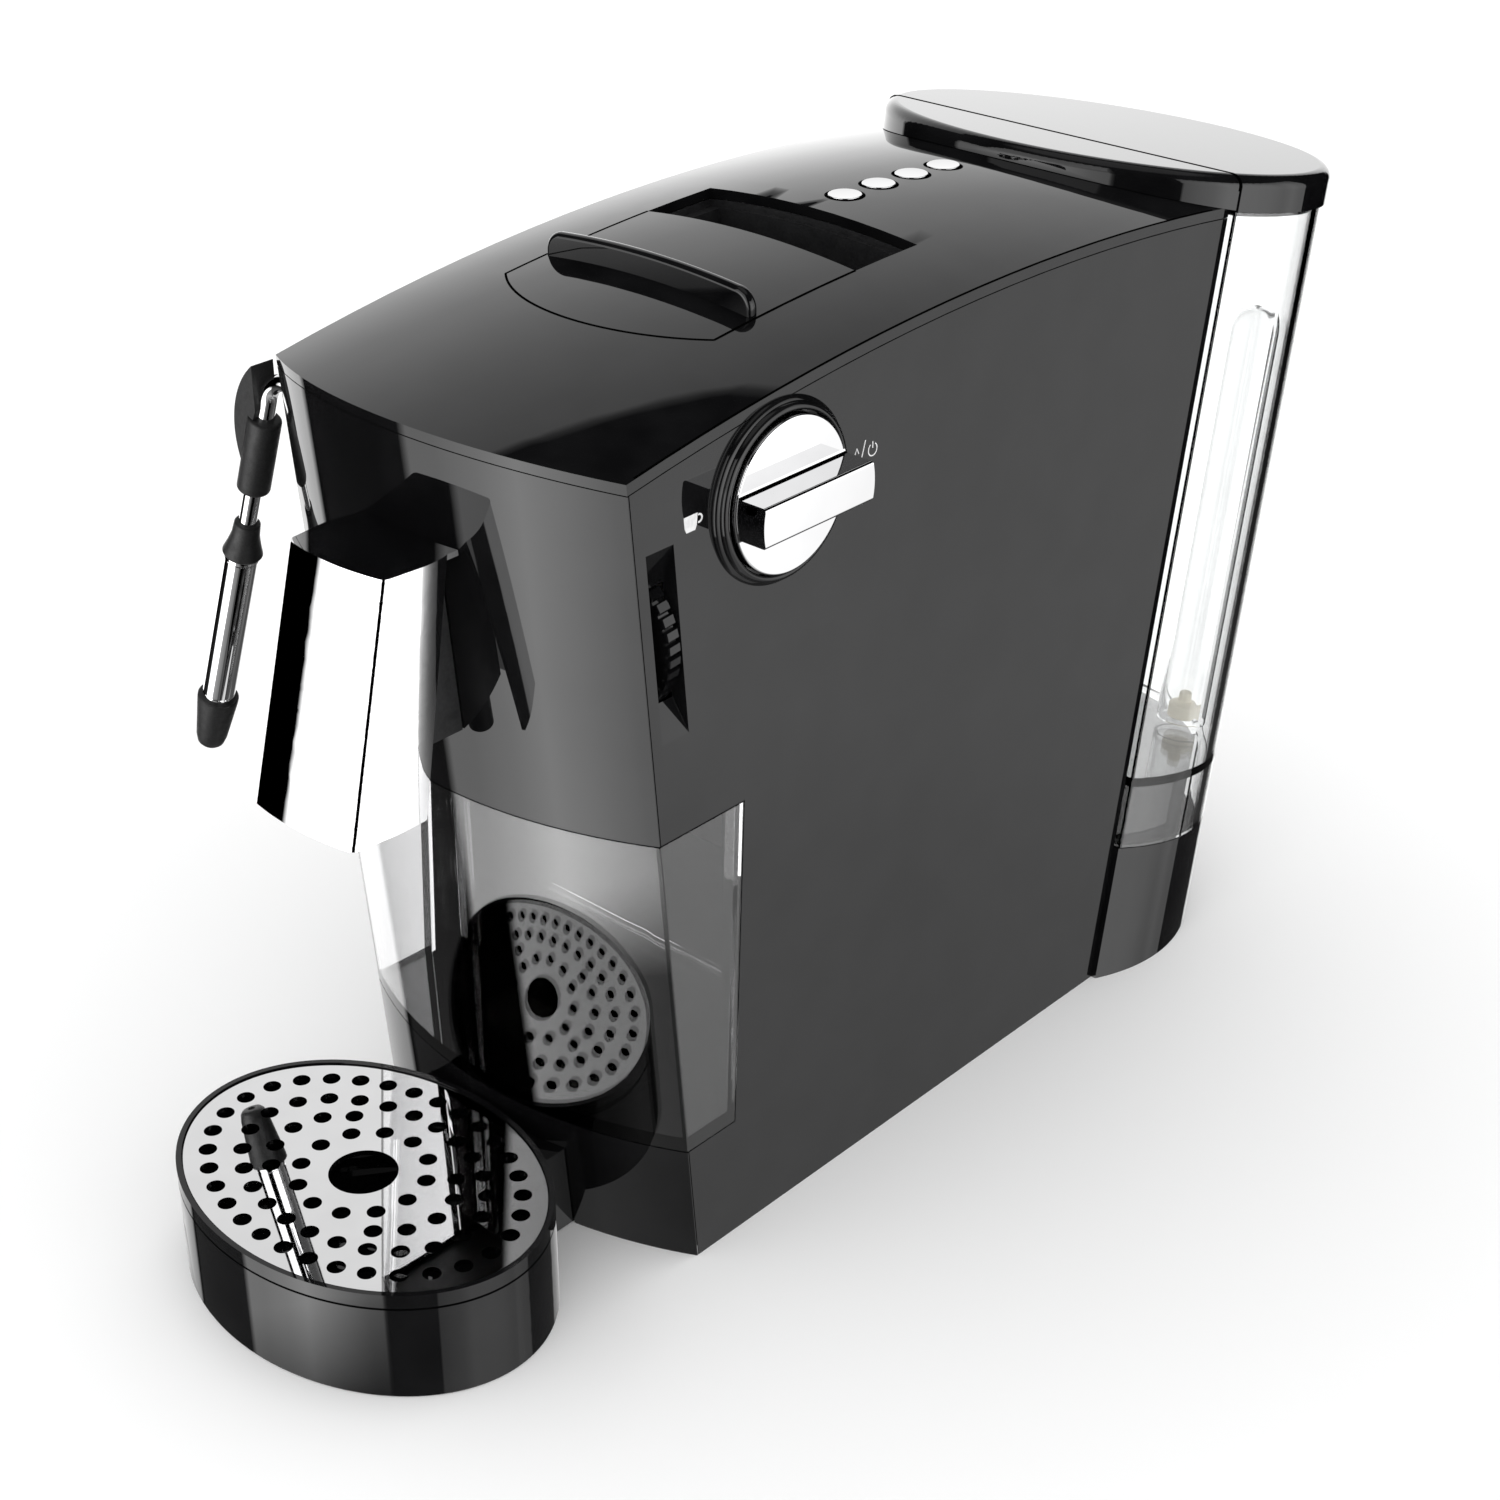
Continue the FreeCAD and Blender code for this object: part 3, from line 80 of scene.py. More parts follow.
# Light panels: (angle in degrees, share of the panel's brightness), round the machine and upwards
ALL_ROUND = ((-178.0, 1.0), (178.0, 1.0))
KEY_ROUND = ((-140.0, 0.4), (-131.0, 0.47), (-119.0, 0.69), (-108.0, 1.0), (-97.0, 0.85), (-86.0, 0.66),
             (-75.0, 0.46), (-67.0, 0.4))
KEY_UP = ((-90.0, 0.07), (-42.2, 0.08), (-41.0, 0.5), (-40.0, 0.88), (-36.0, 0.9), (-32.0, 1.0),
          (6.0, 1.0), (14.0, 0.6), (15.0, 0.0))
HIGH_KEY_ROUND = ((-126.0, 0.4), (-67.0, 0.4))
HIGH_KEY_UP = ((14.0, 0.0), (15.0, 1.0), (45.0, 0.8), (46.0, 0.0))
OVERHEAD_UP = ((58.0, 0.0), (66.0, 1.0), (90.0, 1.0))
LOW_UP = ((-90.0, 1.0), (-42.0, 0.6), (-30.0, 0.25), (-20.0, 0.0))
SIDE_ROUND = ((-31.0, 0.5), (-22.0, 0.65), (-14.0, 0.75), (-5.0, 1.0), (14.0, 0.91), (25.0, 0.79),
              (37.0, 0.58), (46.0, 0.6), (52.0, 0.45), (59.0, 0.36))
SIDE_UP = ((-90.0, 0.15), (-43.0, 0.3), (-38.0, 0.38), (-32.0, 0.52), (-28.0, 0.68), (-20.0, 0.8),
           (-9.0, 1.0), (12.0, 1.0), (23.0, 0.66), (25.5, 0.6), (27.0, 0.0))
REAR_ROUND = ((105.0, 0.75), (116.0, 0.8), (125.0, 0.9), (135.0, 1.0), (178.0, 1.0))
REAR_UP = ((-90.0, 0.15), (-40.0, 0.35), (-30.0, 0.8), (-22.0, 1.0), (0.0, 1.0), (6.0, 0.86), (11.0, 0.7),
           (19.0, 0.56), (24.0, 0.54), (36.0, 0.43), (46.0, 0.37), (46.6, 0.0))
SEEN_THROUGH = ((113.0, 1.0), (154.0, 1.0))
PANEL_EDGE = 1.2          # fade at a panel's upright edges, in degrees


# Settings

class ShellSettings(bpy.types.PropertyGroup):
    """Black mouldings."""

    gloss_dark: FloatVectorProperty(name="Gloss black", description="Body colour of the polished shells",
                                    default=(0.0035, 0.0035, 0.0038), subtype="COLOR")
    gloss_light: FloatVectorProperty(name="Gloss black, lighter", description="Faint clouding in the polish",
                                     default=(0.006, 0.006, 0.0064), subtype="COLOR")
    matt_dark: FloatVectorProperty(name="Matt black", description="Colour of the matt mouldings",
                                   default=(0.006, 0.006, 0.0065), subtype="COLOR")
    matt_light: FloatVectorProperty(name="Matt black, lighter", description="Grain of the matt mouldings",
                                    default=(0.016, 0.016, 0.017), subtype="COLOR")
    edge: FloatProperty(name="Edge", description="Rounding of the shells' edges", default=0.3 * MM,
                        min=0.0, unit="LENGTH")
    polish: FloatProperty(name="Roughness", description="Roughness of the polished shells", default=0.01,
                          min=0.0, max=1.0, subtype="FACTOR")


class BrightSettings(bpy.types.PropertyGroup):
    """Chrome, steel and the buttons."""

    chrome_tone: FloatVectorProperty(name="Chrome", description="Colour of the plated parts",
                                     default=(0.95, 0.95, 0.955), subtype="COLOR")
    steel_tone: FloatVectorProperty(name="Steel", description="Colour of the inner steel parts",
                                    default=(0.56, 0.56, 0.57), subtype="COLOR")
    plating: FloatProperty(name="Roughness", description="Roughness of the plating", default=0.012,
                           min=0.0, max=1.0, subtype="FACTOR")
    button_dish: FloatProperty(name="Button dish", description="Step inside each button's rim",
                               default=0.05 * MM, min=0.0, unit="LENGTH")


class ClearSettings(bpy.types.PropertyGroup):
    """Clear tank and capsule bin."""

    tank_tint: FloatVectorProperty(name="Tank", description="Tint of the water tank",
                                   default=(0.985, 0.99, 0.99), subtype="COLOR")
    bin_tint: FloatVectorProperty(name="Bin", description="Tint of the smoky capsule bin",
                                  default=(0.94, 0.94, 0.945), subtype="COLOR")
    tank_index: FloatProperty(name="Tank refraction", description="Index of refraction of the tank",
                              default=1.49, min=1.0, max=2.0)
    bin_index: FloatProperty(name="Bin refraction", description="Index of refraction of the bin",
                             default=1.65, min=1.0, max=2.0)


class RubberSettings(bpy.types.PropertyGroup):
    """Rubber of the wand and the feet."""

    rubber_dark: FloatVectorProperty(name="Rubber", description="Colour in the rubber's pores",
                                     default=(0.004, 0.004, 0.004), subtype="COLOR")
    rubber_light: FloatVectorProperty(name="Rubber, lighter", description="Colour of the rubber's surface",
                                      default=(0.012, 0.012, 0.0125), subtype="COLOR")
    rounding: FloatProperty(name="Rounding", description="Rounding of the rubber parts' edges",
                            default=0.9 * MM, min=0.0, unit="LENGTH")


class ControlSettings(bpy.types.PropertyGroup):
    """Knob, finger fin, steam wheel and the painted shade lines in the gaps."""

    bar_height: FloatProperty(name="Bar height", description="Height of the knob's bar", default=10.6 * MM,
                              min=0.0, unit="LENGTH")
    bar_edge: FloatProperty(name="Bar edge", description="Rounding of the bar's top and foot",
                            default=0.9 * MM, min=0.0, unit="LENGTH")
    fin_edge: FloatProperty(name="Fin edge", description="Rounding of the finger fin's rim",
                            default=1.4 * MM, min=0.0, unit="LENGTH")
    wheel_teeth: IntProperty(name="Teeth", description="Teeth round the steam wheel", default=40, min=8)
    # the dark lines in the gaps are painted shade
    line_depth: FloatProperty(name="Line depth", description="Depth of the dark lines in the gaps",
                              default=0.25 * MM, min=0.0, unit="LENGTH")


class StudioSettings(bpy.types.PropertyGroup):
    """Floor, light panels and camera."""

    eye: FloatVectorProperty(name="Camera", description="Place of the camera",
                             default=(0.4592, -0.5113, 0.4793), subtype="TRANSLATION", unit="LENGTH")
    aim: FloatVectorProperty(name="View direction", description="Direction that the camera looks in",
                             default=(-0.5852, 0.6497, -0.4852), subtype="DIRECTION")
    lens: FloatProperty(name="Lens", description="Focal length in millimetres", default=64.14, min=1.0)
    fill: FloatProperty(name="Fill light", description="Even white light all round", default=1.27, min=0.0)
    floor_tone: FloatVectorProperty(name="Floor", description="Colour of the floor",
                                    default=(0.92, 0.92, 0.92), subtype="COLOR")
    key_panel: FloatProperty(name="Front panel light", description="Brightness of the front left light panel",
                             default=4.0, min=0.0)
    side_panel: FloatProperty(name="Side panel light", description="Brightness of the right light panel",
                              default=2.75, min=0.0)
    rear_panel: FloatProperty(name="Rear panel light", description="Brightness of the rear light panel",
                              default=1.75, min=0.0)
    overhead: FloatProperty(name="Overhead glow", description="Brightness of the dim glow from above",
                            default=0.35, min=0.0)
    low_glow: FloatProperty(name="Low glow", description="Brightness of the dim glow from below",
                            default=0.12, min=0.0)


class MachineSettings(bpy.types.PropertyGroup):
    """All settings of the coffee machine."""

    shell: PointerProperty(type=ShellSettings)
    bright: PointerProperty(type=BrightSettings)
    clear: PointerProperty(type=ClearSettings)
    rubber: PointerProperty(type=RubberSettings)
    control: PointerProperty(type=ControlSettings)
    studio: PointerProperty(type=StudioSettings)


def settings():
    return bpy.context.scene.coffee_machine


# Materials

def new_material(name):
    """Material with a principled shader, and that shader."""
    material = bpy.data.materials.new(name)
    material.use_nodes = True
    return material, material.node_tree.nodes["Principled BSDF"]


def noise(material, per_metre, detail=2.0, stretch=(1.0, 1.0, 1.0)):
    """Noise in the object's own metres."""
    tree = material.node_tree
    place = tree.nodes.new("ShaderNodeTexCoord")
    scale = tree.nodes.new("ShaderNodeMapping")
    grain = tree.nodes.new("ShaderNodeTexNoise")
    scale.inputs["Scale"].default_value = stretch
    grain.inputs["Scale"].default_value = per_metre
    grain.inputs["Detail"].default_value = detail
    tree.links.new(place.outputs["Object"], scale.inputs["Vector"])
    tree.links.new(scale.outputs["Vector"], grain.inputs["Vector"])
    return grain.outputs["Fac"]


def vary_roughness(material, shader, source, low, high):
    tree = material.node_tree
    spread = tree.nodes.new("ShaderNodeMapRange")
    spread.inputs["From Min"].default_value = ROUGH_BAND[0]
    spread.inputs["From Max"].default_value = ROUGH_BAND[1]
    spread.inputs["To Min"].default_value = low
    spread.inputs["To Max"].default_value = high
    tree.links.new(source, spread.inputs["Value"])
    tree.links.new(spread.outputs["Result"], shader.inputs["Roughness"])


def vary_colour(material, shader, source, dark, light):
    tree = material.node_tree
    ramp = tree.nodes.new("ShaderNodeValToRGB")
    for stop, position, tone in zip(ramp.color_ramp.elements, COLOUR_BAND, (dark, light)):
        stop.position = position
        stop.color = (*tone, 1.0)
    tree.links.new(source, ramp.inputs["Fac"])
    tree.links.new(ramp.outputs["Color"], shader.inputs["Base Color"])


def relief(material, shader, source, depth):
    tree = material.node_tree
    bump = tree.nodes.new("ShaderNodeBump")
    bump.inputs["Strength"].default_value = 1.0
    bump.inputs["Distance"].default_value = depth
    tree.links.new(source, bump.inputs["Height"])
    tree.links.new(bump.outputs["Normal"], shader.inputs["Normal"])


def gloss_black():
    """Polished black moulding: faint clouding and a trace of waviness."""
    s = settings().shell
    material, shader = new_material("polished_black")
    shader.inputs["IOR"].default_value = 1.5
    vary_colour(material, shader, noise(material, 60.0), s.gloss_dark, s.gloss_light)
    vary_roughness(material, shader, noise(material, 900.0, 4.0), s.polish, s.polish * 2)
    relief(material, shader, noise(material, 120.0), 0.002 * MM)
    return material


def matt_black():
    s = settings().shell
    material, shader = new_material("grained_black")
    vary_colour(material, shader, noise(material, 1500.0, 4.0), s.matt_dark, s.matt_light)
    vary_roughness(material, shader, noise(material, 300.0), 0.38, 0.55)
    relief(material, shader, noise(material, 2500.0, 3.0), 0.02 * MM)
    return material


def chrome():
    """Plated surface with a trace of polishing marks."""
    s = settings().bright
    material, shader = new_material("bright_plating")
    shader.inputs["Metallic"].default_value = 1.0
    tone = Vector(s.chrome_tone)
    vary_colour(material, shader, noise(material, 90.0), tone * 0.97, tone)
    vary_roughness(material, shader, noise(material, 700.0, 4.0), s.plating, s.plating * 1.8)
    relief(material, shader, noise(material, 150.0), 0.001 * MM)
    return material


def steel():
    s = settings().bright
    material, shader = new_material("drawn_steel")
    shader.inputs["Metallic"].default_value = 1.0
    tone = Vector(s.steel_tone)
    vary_colour(material, shader, noise(material, 400.0, 3.0), tone * 0.8, tone)
    vary_roughness(material, shader, noise(material, 900.0, 3.0, (1.0, 1.0, 0.1)), 0.22, 0.4)
    return material


def aluminium():
    material, shader = new_material("cast_aluminium")
    shader.inputs["Metallic"].default_value = 1.0
    vary_colour(material, shader, noise(material, 600.0, 4.0), (0.5, 0.51, 0.52), (0.68, 0.69, 0.7))
    vary_roughness(material, shader, noise(material, 900.0, 4.0), 0.4, 0.6)
    relief(material, shader, noise(material, 1200.0, 4.0), 0.05 * MM)
    return material


def white_plastic():
    material, shader = new_material("cream_moulding")
    vary_colour(material, shader, noise(material, 200.0), (0.62, 0.6, 0.52), (0.7, 0.68, 0.6))
    vary_roughness(material, shader, noise(material, 800.0, 3.0), 0.32, 0.48)
    relief(material, shader, noise(material, 1800.0, 3.0), 0.01 * MM)
    return material


def board():
    material, shader = new_material("circuit_board")
    vary_colour(material, shader, noise(material, 500.0, 4.0), (0.01, 0.07, 0.03), (0.02, 0.12, 0.05))
    vary_roughness(material, shader, noise(material, 900.0), 0.3, 0.5)
    return material


def hose():
    material, shader = new_material("silicone_hose")
    vary_colour(material, shader, noise(material, 300.0), (0.5, 0.5, 0.48), (0.62, 0.62, 0.6))
    vary_roughness(material, shader, noise(material, 900.0), 0.45, 0.6)
    return material


def rubber():
    """Moulded rubber with fine pores."""
    s = settings().rubber
    material, shader = new_material("moulded_rubber")
    vary_colour(material, shader, noise(material, 1800.0, 4.0), s.rubber_dark, s.rubber_light)
    vary_roughness(material, shader, noise(material, 500.0, 3.0), 0.42, 0.62)
    relief(material, shader, noise(material, 2600.0, 4.0), 0.03 * MM)
    return material


def clear(name, tint, index):
    """Clear moulding with faint flow lines."""
    material, shader = new_material(name)
    shader.inputs["IOR"].default_value = index
    shader.inputs["Transmission Weight"].default_value = 1.0
    tint = Vector(tint)
    vary_colour(material, shader, noise(material, 30.0), tint * 0.985, tint)
    vary_roughness(material, shader, noise(material, 500.0, 3.0), 0.0, 0.012)
    relief(material, shader, noise(material, 60.0, 1.0, (1.0, 1.0, 0.2)), 0.004 * MM)
    return material


def float_cream_painted_glow():
    """Cream float with a painted glow: emission in its own cream colour stands in for the light that the clear
    walls around it keep off.
    """
    material, shader = new_material("float_cream_painted_glow")
    vary_colour(material, shader, noise(material, 300.0), (0.66, 0.62, 0.5), (0.74, 0.7, 0.58))
    vary_roughness(material, shader, noise(material, 900.0), 0.3, 0.5)
    # painted glow: emission in place of the light that the float lacks
    shader.inputs["Emission Color"].default_value = (0.7, 0.66, 0.54, 1.0)
    shader.inputs["Emission Strength"].default_value = 0.45
    return material


def print_white():
    material, shader = new_material("printed_mark")
    vary_colour(material, shader, noise(material, 900.0, 3.0), (0.72, 0.72, 0.72), (0.85, 0.85, 0.85))
    vary_roughness(material, shader, noise(material, 1500.0), 0.4, 0.6)
    return material


def painted_gap_shade():
    """Painted shade: unlit dull black that stands in for the shade deep in a gap."""
    material, shader = new_material("painted_gap_shade")
    vary_colour(material, shader, noise(material, 900.0, 3.0), (0.0005, 0.0005, 0.0005),
                (0.001, 0.001, 0.001))
    vary_roughness(material, shader, noise(material, 1500.0), 0.8, 0.95)
    # no reflection, so the strip shows as the shade in a gap
    shader.inputs["Specular IOR Level"].default_value = 0.0
    return material


def floor_paper():
    material, shader = new_material("studio_floor")
    tone = Vector(settings().studio.floor_tone)
    vary_colour(material, shader, noise(material, 3.0), tone * 0.995, tone)
    vary_roughness(material, shader, noise(material, 80.0), 0.85, 0.95)
    shader.inputs["Specular IOR Level"].default_value = 0.1
    return material


FINISHES = {}


def finish(slot):
    """The one material of a slot of the record."""
    if slot not in FINISHES:
        s = settings()
        makers = {
            "gloss_black": gloss_black,
            "matt_black": matt_black,
            "chrome": chrome,
            "steel": steel,
            "aluminium": aluminium,
            "white_plastic": white_plastic,
            "board": board,
            "hose": hose,
            "black_rubber": rubber,
            "clear_tank": lambda: clear("clear_tank_wall", s.clear.tank_tint, s.clear.tank_index),
            "clear_bin": lambda: clear("smoky_bin_wall", s.clear.bin_tint, s.clear.bin_index),
            "printed_mark": print_white,
            "float_cream_painted_glow": float_cream_painted_glow,
            "painted_gap_shade": painted_gap_shade,
        }
        FINISHES[slot] = makers[slot]()
    return FINISHES[slot]


def slot_of(node):
    return next(s["material_slot"] for s in frame["record"]["subparts"] if s["node"] == node)


def dress(node):
    """Gives a solid the finish of its own slot."""
    for place in NODES[node].material_slots:
        place.material = finish(slot_of(node))


def flat_faces(item):
    """Keeps large faces true beside their rounded edges."""
    shade = item.modifiers.new("shading", "WEIGHTED_NORMAL")
    shade.mode = "FACE_AREA"
    shade.weight = 100
    shade.keep_sharp = True


def soften(node, width, segments=2):
    """Rounds a solid's sharp edges and keeps its faces true."""
    item = NODES[node]
    weld = item.modifiers.new("weld", "WELD")
    weld.merge_threshold = 0.001 * MM
    bevel = item.modifiers.new("edges", "BEVEL")
    bevel.width = width
    bevel.segments = segments
    bevel.limit_method = "ANGLE"
    bevel.angle_limit = SHARP_ANGLE
    flat_faces(item)


# Mesh helpers

def new_piece(name, mesh, slot, body, look=None):
    """Object on a body with the finish of a slot, or another look."""
    item = bpy.data.objects.new(name, mesh)
    bpy.context.scene.collection.objects.link(item)
    mesh.materials.append(finish(look or slot))
    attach(item, body)
    return item


def lathe(name, profile, start, along, count=64, loop=False):
    """Closed mesh turned round an axis.

    The profile is (distance along, radius) pairs, and a loop joins its ends.
    """
    along = Vector(along).normalized()
    side = along.orthogonal().normalized()
    other = along.cross(side)
    shape = bmesh.new()
    rings = []
    for distance, radius in profile:
        centre = Vector(start) + along * distance
        ring = []
        for i in range(count):
            turn = 2 * math.pi * i / count
            out = side * math.cos(turn) + other * math.sin(turn)
            ring.append(shape.verts.new(centre + out * radius))
        rings.append(ring)
    for lower, upper in zip(rings, rings[1:] + rings[:1] if loop else rings[1:]):
        for i in range(count):
            j = (i + 1) % count
            shape.faces.new((lower[i], lower[j], upper[j], upper[i]))
    if not loop:
        shape.faces.new(list(reversed(rings[0])))
        shape.faces.new(rings[-1])
    return smooth_mesh(name, shape)


def steps(first, last, count):
    """Evenly spaced values, both ends among them."""
    return [first + (last - first) * i / (count - 1) for i in range(count)]


def rounded(along, inner, size):
    """Profile points of an outer edge that rounds off towards the end."""
    return [(along + math.sin(t) * size, inner + math.cos(t) * size) for t in steps(0.3, QUARTER, 5)]


def rounded_start(along, inner, size):
    """Profile points of an outer edge that rounds in from the start."""
    return [(along + size - math.cos(t) * size, inner + math.sin(t) * size) for t in steps(0.3, QUARTER, 5)]


def round_end(along, radius, size, way=1):
    """Rounded shoulder of a sleeve in millimetres, at its start or, with way -1, at its end."""
    size = size / MM
    points = [(along + way * (size - math.cos(t) * size), radius - size + math.sin(t) * size)
              for t in steps(0.0, QUARTER, 6)]
    return points if way > 0 else points[::-1]


def millimetres(pairs):
    """Pairs of millimetres in metres."""
    return [(first * MM, second * MM) for first, second in pairs]


def loft(outlines):
    """Edit mesh through a row of outlines, closed at both ends."""
    shape = bmesh.new()
    rows = [[shape.verts.new(corner) for corner in outline] for outline in outlines]
    shape.faces.new(rows[0][::-1])
    shape.faces.new(rows[-1])
    for lower, upper in zip(rows, rows[1:]):
        for i in range(len(lower)):
            j = (i + 1) % len(lower)
            shape.faces.new((lower[i], lower[j], upper[j], upper[i]))
    bmesh.ops.recalc_face_normals(shape, faces=shape.faces)
    return shape


def prism(corners, run):
    """Edit mesh of a straight prism."""
    return loft([corners, [corner + run for corner in corners]])


def round_off(shape, size):
    """Rounds every edge of an edit mesh."""
    bmesh.ops.bevel(shape, geom=shape.edges[:], offset=size, segments=2, profile=0.5, affect="EDGES")


def merge(shape, other):
    """Adds an edit mesh to another and frees it."""
    mesh = bpy.data.meshes.new("part")
    other.to_mesh(mesh)
    other.free()
    shape.from_mesh(mesh)
    bpy.data.meshes.remove(mesh)


def add_plate(shape, face, outline, thick):
    """Thin raised plate with a (y, z) outline on a face of constant x."""
    merge(shape, prism([Vector((face, y, z)) for y, z in outline], Vector((thick, 0, 0))))


def add_ribbon(shape, face, line, width, thick):
    """Thin raised stroke along a (y, z) line on a face of constant x."""
    points = [Vector(p) for p in line]
    left = []
    right = []
    for i, point in enumerate(points):
        run = (points[min(i + 1, len(points) - 1)] - points[max(i - 1, 0)]).normalized()
        out = Vector((-run.y, run.x)) * width / 2
        left.append(point + out)
        right.append(point - out)
    for i in range(len(points) - 1):
        add_plate(shape, face, [left[i], left[i + 1], right[i + 1], right[i]], thick)


def ring_line(y, z, radius, first, last, count):
    """Arc in metres from a centre and radius in millimetres."""
    return millimetres((y + math.cos(t) * radius, z + math.sin(t) * radius)
                       for t in steps(first, last, count))


def smooth_mesh(name, shape):
    """Mesh from an edit mesh, shaded smooth except at its sharp edges."""
    bmesh.ops.recalc_face_normals(shape, faces=shape.faces)
    for face in shape.faces:
        face.smooth = True
    mesh = bpy.data.meshes.new(name)
    shape.to_mesh(mesh)
    shape.free()
    mesh.set_sharp_from_angle(angle=SHARP_ANGLE)
    return mesh


# Operators

class COFFEE_OT_stage(bpy.types.Operator):
    """Floor, light panels and camera"""

    bl_idname = "coffee.stage"
    bl_label = "Stage"

    def execute(self, context):
        s = settings().studio
        scene = context.scene
        shape = bmesh.new()
        bmesh.ops.create_grid(shape, x_segments=8, y_segments=8, size=6.0)
        floor = bpy.data.objects.new("floor", smooth_mesh("floor", shape))
        floor.data.materials.append(floor_paper())
        floor.visible_glossy = False
        floor.visible_transmission = False
        scene.collection.objects.link(floor)
        self.light(scene, s)
        camera = bpy.data.objects.new("camera", bpy.data.cameras.new("camera"))
        camera.data.lens = s.lens
        camera.data.sensor_width = 36.0
        camera.data.clip_start = 0.01
        camera.location = s.eye
        camera.rotation_mode = "QUATERNION"
        camera.rotation_quaternion = Vector(s.aim).to_track_quat("-Z", "Y")
        scene.collection.objects.link(camera)
        scene.camera = camera
        scene.view_settings.view_transform = "Standard"
        return {"FINISHED"}

    def light(self, scene, s):
        """Even white light, and upright panels that only the glossy surfaces mirror."""
        world = bpy.data.worlds.new("studio")
        world.use_nodes = True
        scene.world = world
        tree = world.node_tree
        tree.nodes.clear()
        place = tree.nodes.new("ShaderNodeTexCoord")
        parts = tree.nodes.new("ShaderNodeSeparateXYZ")
        tree.links.new(place.outputs["Generated"], parts.inputs["Vector"])
        turn = self.arith(tree, "ARCTAN2", parts.outputs["Y"], parts.outputs["X"])
        around = self.arith(tree, "MULTIPLY_ADD", turn, 0.5 / math.pi, 0.5)
        climb = self.arith(tree, "ARCSINE", parts.outputs["Z"])
        height = self.arith(tree, "MULTIPLY_ADD", climb, 1.0 / math.pi, 0.5)
        peak = max(s.key_panel, s.side_panel, s.rear_panel)
        panels = (
            (s.key_panel, KEY_ROUND, KEY_UP),
            (s.key_panel, HIGH_KEY_ROUND, HIGH_KEY_UP),
            (s.overhead, ALL_ROUND, OVERHEAD_UP),
            (s.low_glow, ALL_ROUND, LOW_UP),
            (s.side_panel, SIDE_ROUND, SIDE_UP),
            (s.rear_panel, REAR_ROUND, REAR_UP),
        )
        total = None
        for strength, across, up in panels:
            wide = self.ramp(tree, around, FULL_TURN, across, PANEL_EDGE)
            tall = self.ramp(tree, height, HALF_TURN, up, 0.0)
            piece = self.arith(tree, "MULTIPLY", wide, tall)
            total = self.arith(tree, "MULTIPLY_ADD", piece, strength / peak, total or 0.0)
        bright = tree.nodes.new("ShaderNodeBackground")
        bright.inputs["Strength"].default_value = peak
        tree.links.new(total, bright.inputs["Color"])
        even = tree.nodes.new("ShaderNodeBackground")
        even.inputs["Strength"].default_value = s.fill
        even.inputs["Color"].default_value = (1.0, 1.0, 1.0, 1.0)
        path = tree.nodes.new("ShaderNodeLightPath")
        mirrored = self.blend(tree, path.outputs["Is Glossy Ray"], even, bright)
        behind = self.ramp(tree, around, FULL_TURN, SEEN_THROUGH, PANEL_EDGE)
        through = self.blend(tree, behind, bright, even)
        both = self.blend(tree, path.outputs["Is Transmission Ray"], mirrored, through)
        out = tree.nodes.new("ShaderNodeOutputWorld")
        tree.links.new(both.outputs[0], out.inputs["Surface"])

    def blend(self, tree, share, first, second):
        node = tree.nodes.new("ShaderNodeMixShader")
        tree.links.new(share, node.inputs["Fac"])
        tree.links.new(first.outputs[0], node.inputs[1])
        tree.links.new(second.outputs[0], node.inputs[2])
        return node

    def arith(self, tree, kind, first, *others):
        node = tree.nodes.new("ShaderNodeMath")
        node.operation = kind
        tree.links.new(first, node.inputs[0])
        for socket, value in zip(list(node.inputs)[1:], others):
            if isinstance(value, float):
                socket.default_value = value
            else:
                tree.links.new(value, socket)
        return node.outputs["Value"]

    def ramp(self, tree, source, span, points, edge):
        """Brightness along an angle, dark outside the first and last points if it has an edge."""
        node = tree.nodes.new("ShaderNodeValToRGB")
        tree.links.new(source, node.inputs["Fac"])
        if edge:
            points = ((points[0][0] - edge, 0.0), *points, (points[-1][0] + edge, 0.0))
        stops = node.color_ramp.elements
        while len(stops) < len(points):
            stops.new(1.0)
        for stop, (angle, value) in zip(stops, points):
            stop.position = (angle + span / 2) / span
            stop.color = (value, value, value, 1.0)
        return node.outputs["Color"]


class COFFEE_OT_solids(bpy.types.Operator):
    """Finish on every solid, and rounded edges on the shells"""

    bl_idname = "coffee.solids"
    bl_label = "Solids"

    def execute(self, context):
        for node in NODES:
            dress(node)
        edge = settings().shell.edge
        for node in ("right_side_panel", "left_side_panel", "rear_wall", "spout_body"):
            soften(node, edge)
        soften("wand_tab", 2.5 * edge, 4)
        return {"FINISHED"}


class COFFEE_OT_buttons(bpy.types.Operator):
    """Four push buttons in the top"""

    bl_idname = "coffee.buttons"
    bl_label = "Buttons"

    def execute(self, context):
        dish = settings().bright.button_dish
        flange_rim = 1.6 * MM
        rim = 0.15 * MM
        undercut = 1.2 * MM
        for number, word in enumerate(("one", "two", "three", "four"), start=1):
            node = "button_%d" % number
            low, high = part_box(node)
            middle = (low + high) / 2
            flange = (high.x - low.x) / 2
            radius = flange - flange_rim
            height = high.z - low.z
            stem = radius - undercut
            head = height - 2 * rim
            core = 0.02 * radius
            profile = [(0.0, stem), (head, stem), (head, radius), (height - rim, radius)]
            profile += rounded(height - rim, radius - rim, rim)
            profile += [(height - dish, radius - 2 * rim), (height - dish, core)]
            mesh = lathe("push_" + word, profile, (middle.x, middle.y, low.z), (0, 0, 1))
            cap = new_piece("push_" + word, mesh, "chrome", "button_" + word)
            flat_faces(cap)
            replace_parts(cap, node)
        return {"FINISHED"}


